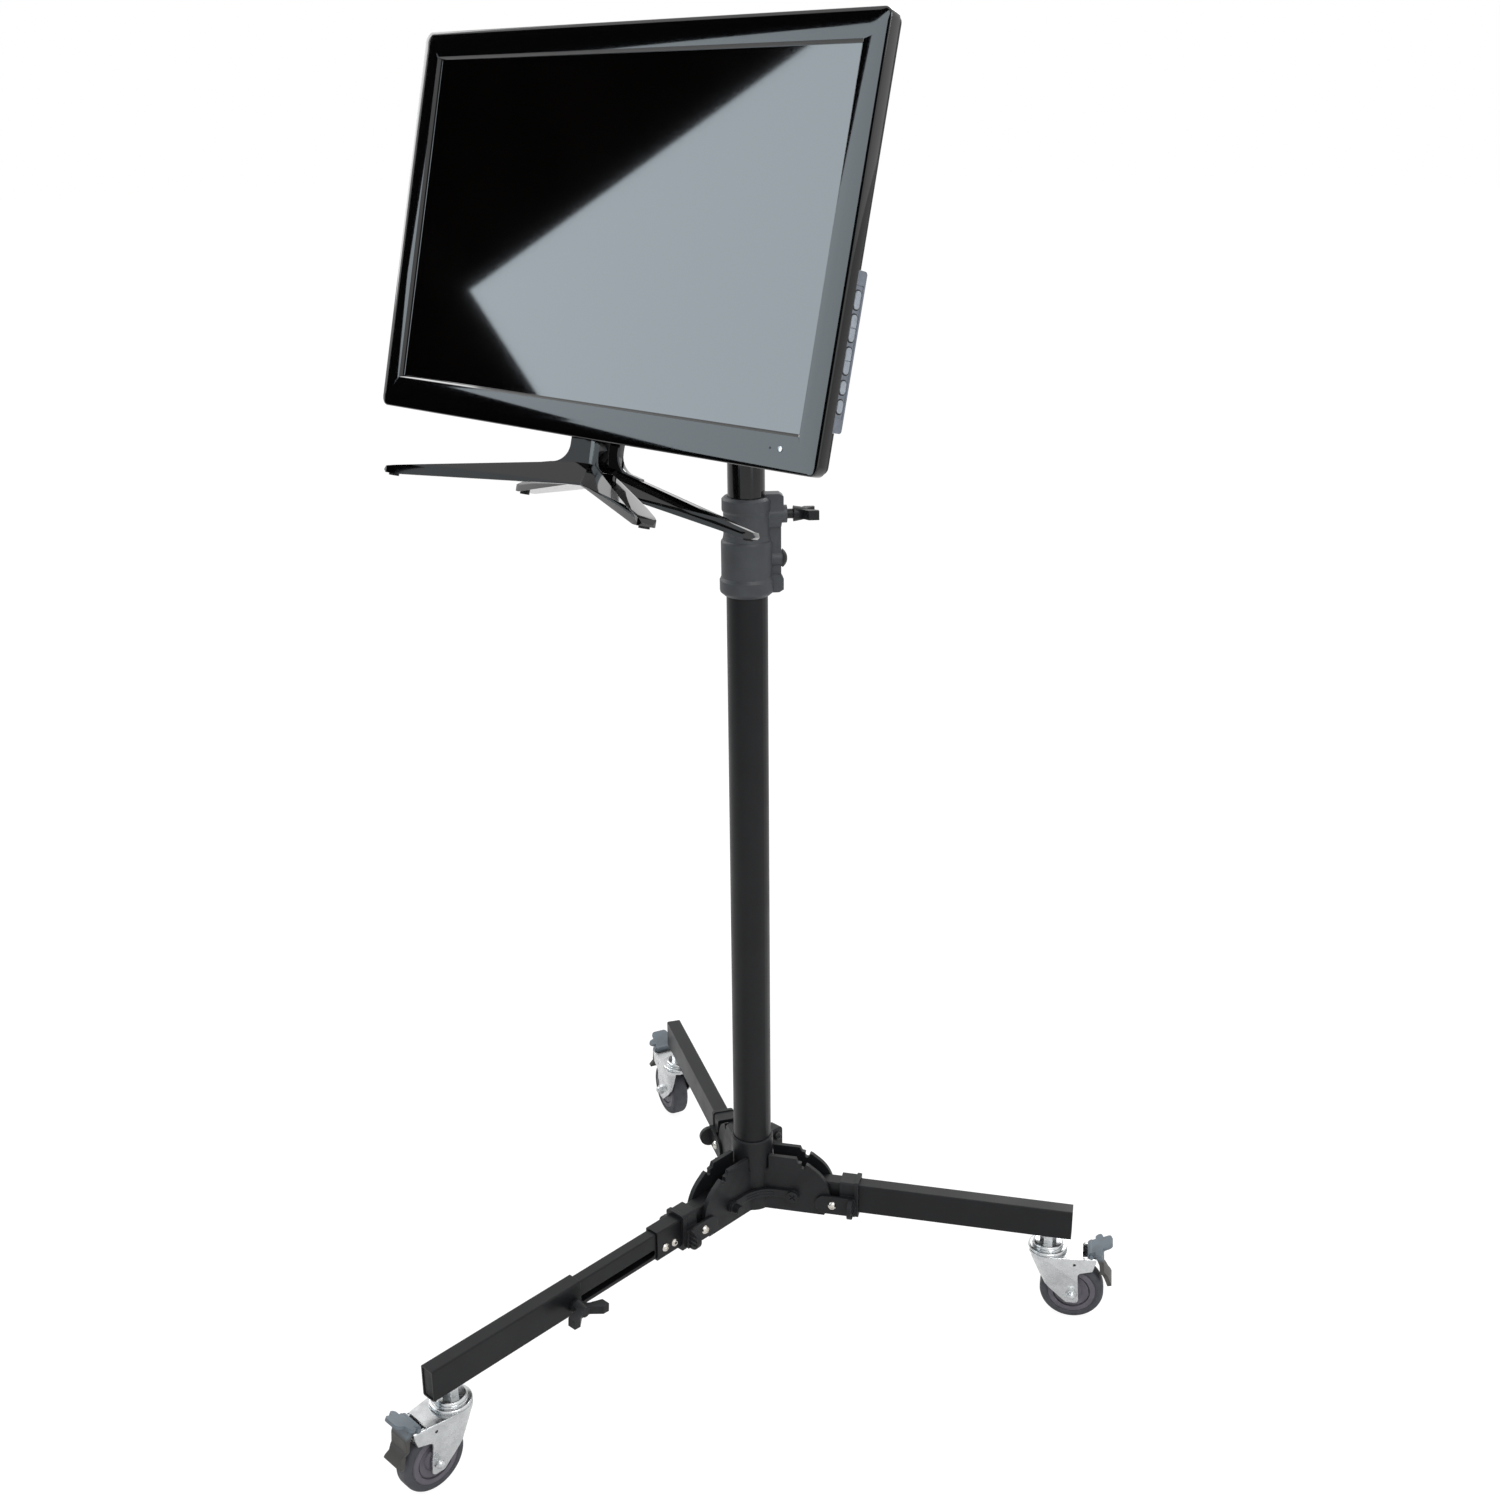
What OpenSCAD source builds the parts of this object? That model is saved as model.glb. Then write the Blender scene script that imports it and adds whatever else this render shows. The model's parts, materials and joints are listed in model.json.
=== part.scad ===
// Rolling monitor stand: a three-leg folding base on braked casters, a two-stage
// column with a T-handle clamp, a pan and tilt arm and a flat monitor.
// Millimetres. Origin on the floor under the column's axis, +Z up.
// The screen faces -Y. The levelling leg points along -Y, the others to 30 and 150 degrees.

/* [Column] */
// Outside diameter of the lower column
column_d = 45; // [42:0.5:48]
// Wall of the lower column
column_wall = 2; // [1.5:0.1:2.5]
// Radial gap between the column and the riser
riser_gap = 0.5; // [0.4:0.1:1]
// Wall of the riser tube
riser_wall = 1.8; // [1.5:0.1:2.5]
// Height of the clamp casting's lower edge above the floor
clamp_z = 870; // [700:10:1000]
// Height of the clamp casting
clamp_h = 107; // [95:1:120]
// Height of the riser's top above the clamp casting
riser_out = 217; // [190:1:390]
// Length of riser tube
riser_len = 802; // [650:10:850]

/* [Legs] */
// Width of the leg tube
leg_w = 19; // [18:0.5:22]
// Height of the leg tube
leg_h = 38; // [34:1:42]
// Wall of the leg tube
leg_wall = 2; // [1.5:0.1:2.5]
// Distance from the column's axis to the end of the two plain legs
leg_reach = 386.5; // [340:0.5:450]
// Distance from the column's axis to the end of the levelling leg
long_reach = 492; // [480:1:500]
// Length of the levelling leg's outer sliding tube
slider_len = 203; // [190:1:210]
// Distance from the column's axis to the end of the levelling leg's fixed stub
stub_reach = 171; // [165:1:190]
// Clearance between the levelling leg's sliding tubes
slide_gap = 0.2; // [0.15:0.05:0.4]
// Distance from a leg's end to its caster stem
stem_inset = 26.5; // [24:0.5:32]

/* [Hub] */
// Distance from the column's axis to each leg pivot
pivot_r = 54; // [52:0.5:60]
// Thickness of each cheek
cheek_t = 5.5; // [4:0.5:7]
// Radius of the latch quadrant on each cheek
quadrant_r = 45; // [42:0.5:50]
// Height of the cheeks above the pivots
cheek_up = 50; // [46:1:56]
// Depth of the cheeks below the pivots
cheek_down = 24; // [20:1:28]
// Depth of the latch notches
notch_depth = 6; // [4:0.5:8]
// Wall of the hub's column socket
socket_wall = 2.5; // [2.5:0.5:5]
// Radius of the pivot pins
pivot_pin_r = 4; // [3:0.5:5]
// Fold of the legs at the upper notch, in degrees
fold_angle = 83; // [78:1:85]

/* [Latches] */
// Radius of the latch cross pin
latch_pin_r = 2.5; // [2:0.5:3]
// Drop of the latch pin below the pivot's level
latch_drop = 7; // [4:0.5:9]
// Length of the latch collar's band
band_len = 23; // [18:1:28]
// Distance from the latch pin to the band
band_offset = 8; // [6:0.5:12]
// Radius of the thumb ears
ear_r = 12.5; // [10:0.5:14]

/* [Casters] */
// Diameter of the wheels
wheel_d = 75; // [72:1:78]
// Width of the wheels
wheel_w = 22; // [18:1:24]
// Distance from the swivel axis back to the axle
trail = 30.5; // [28:0.5:33]
// Height of the leg tubes' underside above the floor
caster_h = 108; // [106:1:112]
// Thickness of the fork's sheet
fork_t = 2.5; // [2:0.1:3]
// Swivel of the casters from their legs: right, rear, levelling
caster_swivel = [2, 9, -2];

/* [Monitor] */
// Width of the monitor
mon_w = 611; // [560:1:660]
// Height of the monitor
mon_h = 378; // [350:1:400]
// Width of the visible screen
screen_w = 548; // [500:1:555]
// Height of the visible screen
screen_h = 311; // [290:1:316]
// Rise of the screen's centre above the monitor's centre
screen_rise = 3; // [0:0.5:6]
// Depth of the front bezel
bezel_depth = 12; // [10:0.5:16]
// Depth of the rear cover's rim behind the bezel
rim_depth = 16; // [14:0.5:20]
// Depth of the rear cover's hump behind its rim
hump_depth = 29; // [20:1:40]
// Tilt of the screen from vertical, in degrees
tilt = 14; // [0:0.5:20]
// Distance from the column's axis to the tilt hinge
arm_len = 110.5; // [95:0.5:140]
// Distance from the tilt hinge to the monitor's front
mon_reach = 85; // [80:0.5:95]
// Hole spacing of the mounting plate
plate_pitch = 100; // [75:25:100]
// Length of the table foot's neck below the monitor
neck_len = 66; // [56:1:80]
// Lean of the table foot from square to the screen, in degrees
foot_lean = 1; // [0:0.5:4]

/* [Hidden] */
$fn = 48;

// Finishes
black_paint = "#2b2d2f";
black_cast = "#34383c";
black_plastic = "#1d1e20";
gloss_black = "#121316";
zinc = "#c9ccce";
pedal_grey = "#7b858c";
tread_grey = "#4a4c4f";
core_grey = "#63616a";
pod_grey = "#8b929e";
key_grey = "#aab0bb";
glass_grey = "#9aa5aa";

// Fits
run = 0.06; // radial running clearance
seat = 0.02; // clearance of a seated piece
air = 0.3; // clearance of pieces that pass each other

// Legs and hub
azimuths = [30, 150, 270];
leg_mid = caster_h + leg_h / 2;
leg_half_w = leg_w / 2;
cheek_in = leg_half_w + 0.5;
cheek_out = cheek_in + cheek_t;
hub_low = leg_mid - cheek_down;
hub_top = leg_mid + cheek_up;
column_r = column_d / 2;
column_bore = column_r - column_wall;
riser_r = column_bore - riser_gap;
riser_bore = riser_r - riser_wall;
socket_r = column_r + socket_wall;
socket_top = hub_top + 20;
hub_floor = 6;
leg_start = pivot_r - 13;
head_t = 3.3;

// Ear and bolt that lock the column in the hub's socket
ear_az = 90;
ear_half = 7;
ear_out = column_r + 24;
bolt_x = column_r + 14;
bolt_z = hub_top + 1;

// Latches: the pin's travel along the leg, from the notch to clear of the quadrant's lips
lip = 1;
pin_seat_r = quadrant_r - notch_depth + latch_pin_r;
pin_free_r = quadrant_r + lip + latch_pin_r + air;
latch_in = sqrt(pow(pin_seat_r, 2) - pow(latch_drop, 2));
latch_x = sqrt(pow(pin_free_r, 2) - pow(latch_drop, 2));
latch_travel = latch_x - latch_in;
arm_in = cheek_out + air;
arm_t = 3.2;
arm_out = arm_in + arm_t;
band_t = 3;

// Casters
wheel_r = wheel_d / 2;
fork_in = wheel_w / 2 + 2.5;
fork_out = fork_in + fork_t;
shelf_z = wheel_d + 14;
race_r = 23.5;
race_h = 9.6;
fold_r = 3;
stem_r = 5;
stem_nut_r = 8;
axle_r = 4;
brake_x = trail + 20.5;
brake_z = wheel_r + 53.5;
pedal_rise = 28;
pedal_t = 3.6;

// Clamp casting
clamp_top = clamp_z + clamp_h;
column_top = clamp_z + 64;
rib_az = 48;
rib_out = column_r + 15.5;
handle_z = clamp_top - 20;
set_screw_z = clamp_z + 39;
screw_r = 4;

// Riser head, pan and tilt
riser_top = clamp_top + riser_out;
riser_low = riser_top - riser_len;
head_low = riser_top - 30;
head_top = riser_top + 34;
head_r = riser_r + 5;
spigot_r = 8;
spigot_len = 48;
head_knob_z = riser_top + 8;
arm_thick = 12.6;
hinge_z = head_top + 0.2 + arm_thick / 2;
lug_w = 11.5;
ear_w = 6;
hinge_r = 13;
plate_t = 4;
plate_w = plate_pitch + 20;
rear_depth = bezel_depth + rim_depth + hump_depth;
plate_front = rear_depth;

// Monitor
opening_w = screen_w + 8;
opening_h = screen_h + 6;
corner_r = 9;
panel_t = 4;
lip_t = 3.5;
skin = 3;
pod_top = -16;
pod_len = 134;
pod_out = 3.2;
pod_depth = 15;
key_travel = 0.7;
key_proud = 0.9;

function arc(cx, cy, r, a0, a1, n = 12) =
    [for (i = [0:n]) let (a = a0 + (a1 - a0) * i / n) [cx + r * cos(a), cy + r * sin(a)]];

module rounded(w, h, r) {
    polygon(concat(arc(w / 2 - r, h / 2 - r, r, 0, 90, 6), arc(r - w / 2, h / 2 - r, r, 90, 180, 6),
        arc(r - w / 2, r - h / 2, r, 180, 270, 6), arc(w / 2 - r, r - h / 2, r, 270, 360, 6)));
}

// Frames: a leg's own frame has X along the leg from the pivot and Z up
module on_leg(i) { rotate([0, 0, azimuths[i]]) translate([pivot_r, 0, leg_mid]) children(); }
function reach(i) = i == 2 ? long_reach : leg_reach;
module on_caster(i) {
    rotate([0, 0, azimuths[i]]) translate([reach(i) - stem_inset, 0, 0])
        rotate([0, 0, caster_swivel[i]]) children();
}
module on_monitor() {
    translate([0, -arm_len, hinge_z]) rotate([-tilt, 0, 0]) translate([0, -mon_reach, 0]) children();
}
// A profile drawn in X and Z, given a thickness across Y
module across(y0, y1) { translate([0, y1, 0]) rotate([90, 0, 0]) linear_extrude(y1 - y0) children(); }
module bar_y(r, y0, y1) { translate([0, y0, 0]) rotate([-90, 0, 0]) cylinder(r = r, h = y1 - y0); }
module bar_x(r, x0, x1) { translate([x0, 0, 0]) rotate([0, 90, 0]) cylinder(r = r, h = x1 - x0); }

module wing_knob(shaft_r, shaft_len, reach_len = 25) {
    rise = 17;
    translate([0, 0, -shaft_len]) cylinder(r = shaft_r, h = shaft_len + 1);
    cylinder(r = 7.5, h = 4.5);
    cylinder(r1 = 8.5, r2 = 6, h = 15);
    for (side = [0, 180]) rotate([0, 0, side])
        across(-5, 5)
            polygon(concat([[0, 3], [7, 3]], arc(14, 3, 7, 180, 120, 4), [[reach_len, rise - 3],
                [reach_len, rise + 8], [reach_len - 8, rise + 8], [6, 15], [0, 13.5]]));
}

// Hub

module cheek_outline() {
    shoulder = 3;
    difference() {
        union() {
            intersection() {
                circle(r = quadrant_r, $fn = 96);
                translate([-quadrant_r, -cheek_down]) square([2 * quadrant_r, quadrant_r + cheek_down]);
            }
            // Raised lips beside the upper notch and the shoulder that stops the latch pin
            polygon(concat([[0, 0]], arc(0, 0, quadrant_r, 50, 58, 2),
                arc(0, 0, quadrant_r + lip, 66, 70, 2)));
            polygon([[-pivot_r + column_r + 1, -cheek_down], [shoulder, -cheek_down],
                [shoulder + 6, quadrant_r - notch_depth - 3], [shoulder + 4, cheek_up - 9],
                [shoulder, cheek_up], [-pivot_r + column_r + 1, cheek_up]]);
        }
        for (a = [0, fold_angle]) rotate(a) {
            translate([latch_in, -latch_drop]) circle(r = latch_pin_r + 0.25);
            translate([latch_in, -latch_drop - latch_pin_r - 0.25])
                square([quadrant_r, 2 * latch_pin_r + 0.5]);
        }
        circle(r = pivot_pin_r + seat);
    }
}

module hub_casting() {
    color(black_cast) difference() {
        union() {
            translate([0, 0, hub_low]) cylinder(r = socket_r, h = socket_top - hub_low - 2);
            translate([0, 0, socket_top - 2]) cylinder(r1 = socket_r, r2 = socket_r - 1, h = 2);
            for (i = [0:2]) on_leg(i) for (side = [-1, 1])
                across(side > 0 ? cheek_in : -cheek_out, side > 0 ? cheek_out : -cheek_in) cheek_outline();
            // Ear behind the socket that carries the column's lock bolt
            rotate([0, 0, ear_az]) across(-ear_half, ear_half)
                polygon(concat([[column_r + 1, bolt_z - 16], [ear_out, bolt_z - 16]],
                    arc(ear_out - 7, bolt_z + 4, 7, 0, 90, 6), [[column_r + 1, bolt_z + 11]]));
        }
        translate([0, 0, hub_low + hub_floor]) cylinder(r = column_r + seat, h = hub_top);
        rotate([0, 0, ear_az]) translate([bolt_x, 0, bolt_z]) bar_y(3 + seat, -20, 20);
    }
}

module lower_column() {
    z0 = hub_low + hub_floor;
    color(black_paint) translate([0, 0, z0]) difference() {
        cylinder(r = column_r, h = column_top - z0);
        translate([0, 0, -1]) cylinder(r = column_bore, h = column_top);
    }
}

strap_t = 4;
strap_low = -3.8;
strap_h = 10;
module pivot_pins() {
    far = cheek_out + strap_t;
    color(black_plastic) for (i = [0:2]) on_leg(i) {
        bar_y(pivot_pin_r, -far - 1, far + 1);
        // Pan head with a cross recess on one side, a long cap nut on the other
        difference() {
            bar_y(7.2, -far - head_t, -far);
            for (a = [45, 135])
                rotate([0, a, 0]) translate([-4.5, -far - head_t - 1, -0.8]) cube([9, 2.4, 1.6]);
        }
        bar_y(7, far, far + 2);
        bar_y(5.6, far + 2, far + 12);
    }
}

// One strap bridges each corner, bolted to the cheeks at two pivots
module corner_straps() {
    d = (socket_r + 0.1 - cheek_out) / (1 - sin(60));
    r_out = d * sin(60) - cheek_out;
    r_in = r_out - strap_t;
    near = [pivot_r / 2 + cheek_out * sin(60), pivot_r * sin(60) - cheek_out / 2];
    away = near + strap_t * [sin(60), -1 / 2];
    color(black_cast) for (i = [0:2]) difference() {
        union() {
            // Two straight arms, and a round middle that clears the socket
            rotate([0, 0, azimuths[i] - 60]) translate([0, 0, leg_mid + strap_low]) difference() {
                linear_extrude(strap_h)
                    polygon(concat([near], arc(d, 0, r_out, 150, 210, 24), [[near[0], -near[1]]],
                        [[away[0], -away[1]]], arc(d, 0, r_in, 210, 150, 24), [away]));
                for (z = [2.5, 6]) translate([0, 0, z]) linear_extrude(1.5)
                    polygon(concat(arc(d, 0, r_in + 0.8, 156, 204, 18), arc(d, 0, r_in - 1, 204, 156, 18)));
            }
            for (end = [[i, -1], [(i + 2) % 3, 1]]) on_leg(end[0])
                bar_y(7.5, end[1] > 0 ? cheek_out + 0.1 : 0.1 - cheek_out - strap_t,
                    end[1] > 0 ? cheek_out + strap_t - 0.1 : -cheek_out - 0.1);
        }
        for (k = [i, (i + 2) % 3]) on_leg(k) bar_y(pivot_pin_r + seat, -40, 40);
    }
}

// Clamp casting

module riser_clamp() {
    r0 = column_r;
    profile = concat([[0, 0], [r0 + 2, 0], [r0 + 6.5, 4], [r0 + 7, 6], [r0 + 7, 17], [r0 + 5.2, 20.5],
        [r0 + 5.2, 55]], arc(r0 + 1.7, 58, 3.5, 0, 60, 4),
        [[r0 + 2.4, 66], [r0 + 2.4, clamp_h - 17], [r0 + 4, clamp_h - 14], [r0 + 4, clamp_h - 2.5],
        [r0 + 1.5, clamp_h], [0, clamp_h]]);
    color(black_cast) difference() {
        union() {
            translate([0, 0, clamp_z]) rotate_extrude($fn = 72) polygon(profile);
            rotate([0, 0, rib_az]) {
                // Rib that carries the handle and the set screw, with a block at each end
                translate([0, -6, clamp_z + 4]) cube([rib_out - 1.5, 12, clamp_h - 4]);
                across(-8.5, 8.5) polygon([[0, clamp_z + 3], [rib_out - 4, clamp_z + 3],
                    [rib_out + 1, clamp_z + 6], [rib_out + 1, clamp_z + 18], [rib_out - 1.5, clamp_z + 22],
                    [0, clamp_z + 22]]);
                across(-8.5, 8.5) polygon([[0, handle_z - 14], [rib_out - 1.5, handle_z - 12],
                    [rib_out + 1, handle_z + 5], [rib_out + 1, clamp_top], [rib_out - 3, clamp_top + 3],
                    [0, clamp_top + 3]]);
                translate([0, 0, handle_z]) bar_x(9.5, column_r, rib_out + 5);
                translate([0, 0, set_screw_z]) bar_x(9, column_r, rib_out);
            }
        }
        translate([0, 0, clamp_z - 1]) cylinder(r = column_r + seat, h = column_top - clamp_z + 1);
        translate([0, 0, clamp_z - 1]) cylinder(r = riser_r + run, h = clamp_h + 10);
        rotate([0, 0, rib_az]) {
            translate([0, 0, handle_z]) bar_x(screw_r + run, 0, rib_out + 10);
            translate([0, 0, set_screw_z]) bar_x(3 + seat, 0, rib_out + 10);
        }
    }
}

// Two screws that fix the column: one in the clamp casting, one through the hub's ear
module clamp_set_screw() {
    dome = 12.2;
    color(black_plastic) rotate([0, 0, rib_az]) translate([0, 0, set_screw_z]) difference() {
        union() {
            bar_x(3, column_r + 0.1, rib_out);
            translate([rib_out, 0, 0]) rotate([0, 90, 0])
                rotate_extrude() polygon(concat([[0, 0], [9.4, 0]], arc(0, 5.6 - dome, dome, 34, 90, 8)));
        }
        translate([rib_out + 3, 0, 0]) rotate([0, 90, 0]) cylinder(r = 2.9, h = 6, $fn = 6);
    }
    color(zinc) rotate([0, 0, ear_az]) translate([bolt_x, 0, bolt_z]) {
        bar_y(3, -ear_half - 1, ear_half + 1);
        difference() {
            translate([0, -ear_half, 0]) rotate([90, 0, 0])
                rotate_extrude() polygon(concat([[0, 0], [5.5, 0]], arc(2.5, 0.6, 3, 0, 90, 6), [[0, 3.6]]));
            for (a = [0, 90]) rotate([0, a, 0]) translate([-2.6, -ear_half - 5, -0.6]) cube([5.2, 3, 1.2]);
        }
        translate([0, ear_half, 0]) rotate([-90, 0, 0]) cylinder(r = 5.8, h = 5, $fn = 6);
    }
}

module clamp_handle() {
    // The screw's tip bears on the riser
    color(black_plastic) rotate([0, 0, rib_az]) translate([rib_out + 12, 0, handle_z]) rotate([0, 90, 0])
        rotate([0, 0, 84]) {
            translate([0, 0, -7]) cylinder(r = 5.2, h = 7);
            wing_knob(screw_r, rib_out + 12 - riser_r - air);
        }
}

// Legs

module tube_section(w, h, wall, r = 2) {
    difference() {
        rounded(w, h, r);
        rounded(w - 2 * wall, h - 2 * wall, max(0.4, r - wall));
    }
}
// A rectangular tube along X from x0 to x1 in a leg's frame
module leg_box(x0, x1, w, h, wall) {
    translate([x0, 0, 0]) rotate([90, 0, 90]) linear_extrude(x1 - x0) tube_section(w, h, wall);
}
module hub_end_cuts() {
    bar_y(pivot_pin_r + run, -leg_w, leg_w);
    // Slot in both walls for the latch pin's travel
    for (x = [latch_in - 0.4, latch_x + 0.4])
        translate([x, 0, -latch_drop]) bar_y(latch_pin_r + run, -leg_w, leg_w);
    translate([latch_in - 0.4, -leg_w, -latch_drop - latch_pin_r - run])
        cube([latch_travel + 0.8, 2 * leg_w, 2 * (latch_pin_r + run)]);
}
module stem_hole(x) { translate([x, 0, -leg_h]) cylinder(r = stem_r + seat, h = leg_h); }

module leg_tube(i) {
    end = leg_reach - pivot_r;
    color(black_paint) on_leg(i) difference() {
        leg_box(leg_start - pivot_r, end, leg_w, leg_h, leg_wall);
        hub_end_cuts();
        stem_hole(end - stem_inset);
    }
}
module leg_tube_right() { leg_tube(0); }
module leg_tube_rear() { leg_tube(1); }

stub_x = stub_reach - pivot_r;
slider_x0 = long_reach - slider_len - pivot_r;
slider_x1 = long_reach - pivot_r;
slide_in = slider_x0 - stub_x - 1;
inner_w = leg_w - 2 * leg_wall - 2 * slide_gap;
inner_h = leg_h - 2 * leg_wall - 2 * slide_gap;
inner_x0 = stub_x - 55;
// The inner tube ends short of the stem's nut when the slider is pushed right in
inner_x1 = slider_x1 - stem_inset - stem_nut_r - slide_in - 1.5;
// The screws and the slot run along a line below the tube's middle
screw_line = -7;
slot_h = 9;
slot_x0 = stub_x + 2;
slot_x1 = inner_x1 - 8;
knob_x = slider_x0 + 10;
rivet_x = [stub_x - 13, stub_x - 27];

module leg_stub_front() {
    color(black_paint) on_leg(2) difference() {
        leg_box(leg_start - pivot_r, stub_x, leg_w, leg_h, leg_wall);
        hub_end_cuts();
        for (x = rivet_x) translate([x, 0, screw_line]) bar_y(2.5 + seat, 0, leg_w);
    }
}

module leg_inner_front() {
    color(black_paint) on_leg(2) difference() {
        leg_box(inner_x0, inner_x1, inner_w, inner_h, 1.6);
        translate([0, 0, screw_line]) {
            for (x = [slot_x0 + slot_h / 2, slot_x1 - slot_h / 2])
                translate([x, 0, 0]) bar_y(slot_h / 2, 0, leg_w);
            translate([slot_x0 + slot_h / 2, 0, -slot_h / 2])
                cube([slot_x1 - slot_x0 - slot_h, leg_w, slot_h]);
            for (x = rivet_x) translate([x, 0, 0]) bar_y(2.5 + seat, 0, leg_w);
        }
    }
}

module leg_slider_front() {
    color(black_paint) on_leg(2) difference() {
        leg_box(slider_x0, slider_x1, leg_w, leg_h, leg_wall);
        translate([knob_x, 0, screw_line]) bar_y(screw_r + run, 0, leg_w);
        stem_hole(slider_x1 - stem_inset);
    }
}

module leg_cap(i) {
    end = reach(i) - pivot_r;
    w = leg_w - 2 * leg_wall - 2 * seat;
    h = leg_h - 2 * leg_wall - 2 * seat;
    color(black_plastic) on_leg(i) {
        difference() {
            translate([end - 12, 0, 0]) rotate([90, 0, 90]) linear_extrude(11) rounded(w, h, 0.6);
            translate([end - 13, 0, 0]) rotate([90, 0, 90]) linear_extrude(10) rounded(w - 4, h - 4, 0.6);
        }
    }
}
module leg_cap_right() { leg_cap(0); }
module leg_cap_rear() { leg_cap(1); }
module leg_cap_front() { leg_cap(2); }

module stub_fasteners() {
    y0 = leg_half_w;
    in = inner_w / 2 - 3;
    color(zinc) on_leg(2) {
        // Cross-head screw
        translate([rivet_x[0], 0, screw_line]) {
            bar_y(2.5, in, y0);
            difference() {
                translate([0, y0, 0]) rotate([-90, 0, 0]) rotate_extrude()
                    polygon(concat([[0, 0]], arc(-1.6, -4.4, 8, 33.6, 78, 6), [[0, 3.4]]));
                for (a = [0, 90]) rotate([0, a, 0]) translate([-2.8, y0 + 2, -0.6]) cube([5.6, 3, 1.2]);
            }
        }
        // Hollow rivet
        translate([rivet_x[1], 0, screw_line]) difference() {
            union() {
                bar_y(2.5, in, y0);
                translate([0, y0, 0]) rotate([-90, 0, 0]) rotate_extrude()
                    polygon(concat([[0, 0], [5, 0]], arc(2.5, 0, 2.5, 0, 90, 5), [[0, 2.5]]));
            }
            bar_y(1.6, -1, y0 + 5);
        }
    }
}

module slider_knob() {
    color(black_plastic) on_leg(2) translate([knob_x, leg_half_w + 4, screw_line])
        rotate([-90, 0, 0]) rotate([0, 0, -4]) {
            translate([0, 0, -4 + seat]) cylinder(r = 7, h = 4);
            wing_knob(screw_r, 4 + leg_half_w - 1);
        }
}

// Latch collars

module latch_collar(i) {
    w_in = leg_half_w + 0.2;
    h_in = leg_h / 2 + 0.2;
    x0 = latch_x + band_offset;
    x1 = x0 + band_len;
    arm_low = -latch_drop - 12;
    arm_high = -latch_drop + 12;
    tail = latch_x - 9;
    ear_x = x1 - 11;
    color(black_cast) on_leg(i) difference() {
        union() {
            // Band round the leg, with a raised outer lip
            translate([x0, 0, 0]) rotate([90, 0, 90]) linear_extrude(band_len)
                rounded(2 * (w_in + band_t), 2 * (h_in + band_t), 3);
            translate([x1 - 5, 0, 0]) rotate([90, 0, 90]) linear_extrude(5)
                rounded(2 * (w_in + band_t) + 3, 2 * (h_in + band_t) + 3, 4);
            // Side arms that reach outside the cheeks to the cross pin
            for (side = [-1, 1]) {
                across(side > 0 ? arm_in : -arm_out, side > 0 ? arm_out : -arm_in)
                    polygon(concat([[x1 - 3, arm_low], [x1 - 3, arm_high]],
                        [for (p = arc(tail, -latch_drop, 12, 90, 270, 14)) p]));
                translate([x0 + 1, side > 0 ? w_in : -arm_out, arm_low])
                    cube([x1 - 4 - x0, arm_out - w_in, arm_high - arm_low]);
                // Thumb ear, a ribbed disc that stands out across the leg
                translate([ear_x, side * (arm_out + 1.5), -latch_drop]) bar_x(ear_r, 0, 5.5);
                for (k = [-1:1])
                    translate([ear_x + 5.5, side * (arm_out + 1.5) - ear_r + 3, -latch_drop + k * 6 - 1])
                        cube([1, 2 * ear_r - 6, 2]);
            }
        }
        translate([x0 - 40, 0, 0]) rotate([90, 0, 90]) linear_extrude(band_len + 80)
            rounded(2 * w_in, 2 * h_in, 2);
        // The arms stand clear of the cheeks inboard of the band
        translate([0, -arm_in, -leg_h]) cube([x0, 2 * arm_in, 2 * leg_h]);
        translate([latch_x, 0, -latch_drop]) bar_y(latch_pin_r + seat, -40, 40);
    }
}
module latch_collar_right() { latch_collar(0); }
module latch_collar_rear() { latch_collar(1); }
module latch_collar_front() { latch_collar(2); }

module latch_pin(i) {
    color(zinc) on_leg(i) translate([latch_x, 0, -latch_drop]) {
        bar_y(latch_pin_r, -arm_out, arm_out);
        for (side = [0, 180]) rotate([0, 0, side]) difference() {
            translate([0, arm_out, 0]) rotate([-90, 0, 0]) rotate_extrude()
                polygon(concat([[0, 0]], arc(0, -2.2, 6, 21.5, 90, 8)));
            translate([0, arm_out + 2.4, 0]) rotate([-90, 0, 0]) cylinder(r = 2.3, h = 3, $fn = 6);
        }
    }
}
module latch_pin_right() { latch_pin(0); }
module latch_pin_rear() { latch_pin(1); }
module latch_pin_front() { latch_pin(2); }

// Casters

module caster_stem(i) {
    nut_z = shelf_z + race_h + air;
    color(zinc) on_caster(i) {
        translate([0, 0, shelf_z - fork_t - 3.3]) cylinder(r = 8, h = 3);
        translate([0, 0, shelf_z - fork_t - 1])
            cylinder(r = stem_r, h = caster_h + leg_wall + 9 - shelf_z + fork_t);
        translate([0, 0, nut_z]) cylinder(r = 9.8, h = caster_h - nut_z, $fn = 6);
        translate([0, 0, caster_h + leg_wall]) cylinder(r = stem_nut_r, h = 6, $fn = 6);
    }
}
module caster_stem_right() { caster_stem(0); }
module caster_stem_rear() { caster_stem(1); }
module caster_stem_front() { caster_stem(2); }

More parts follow.
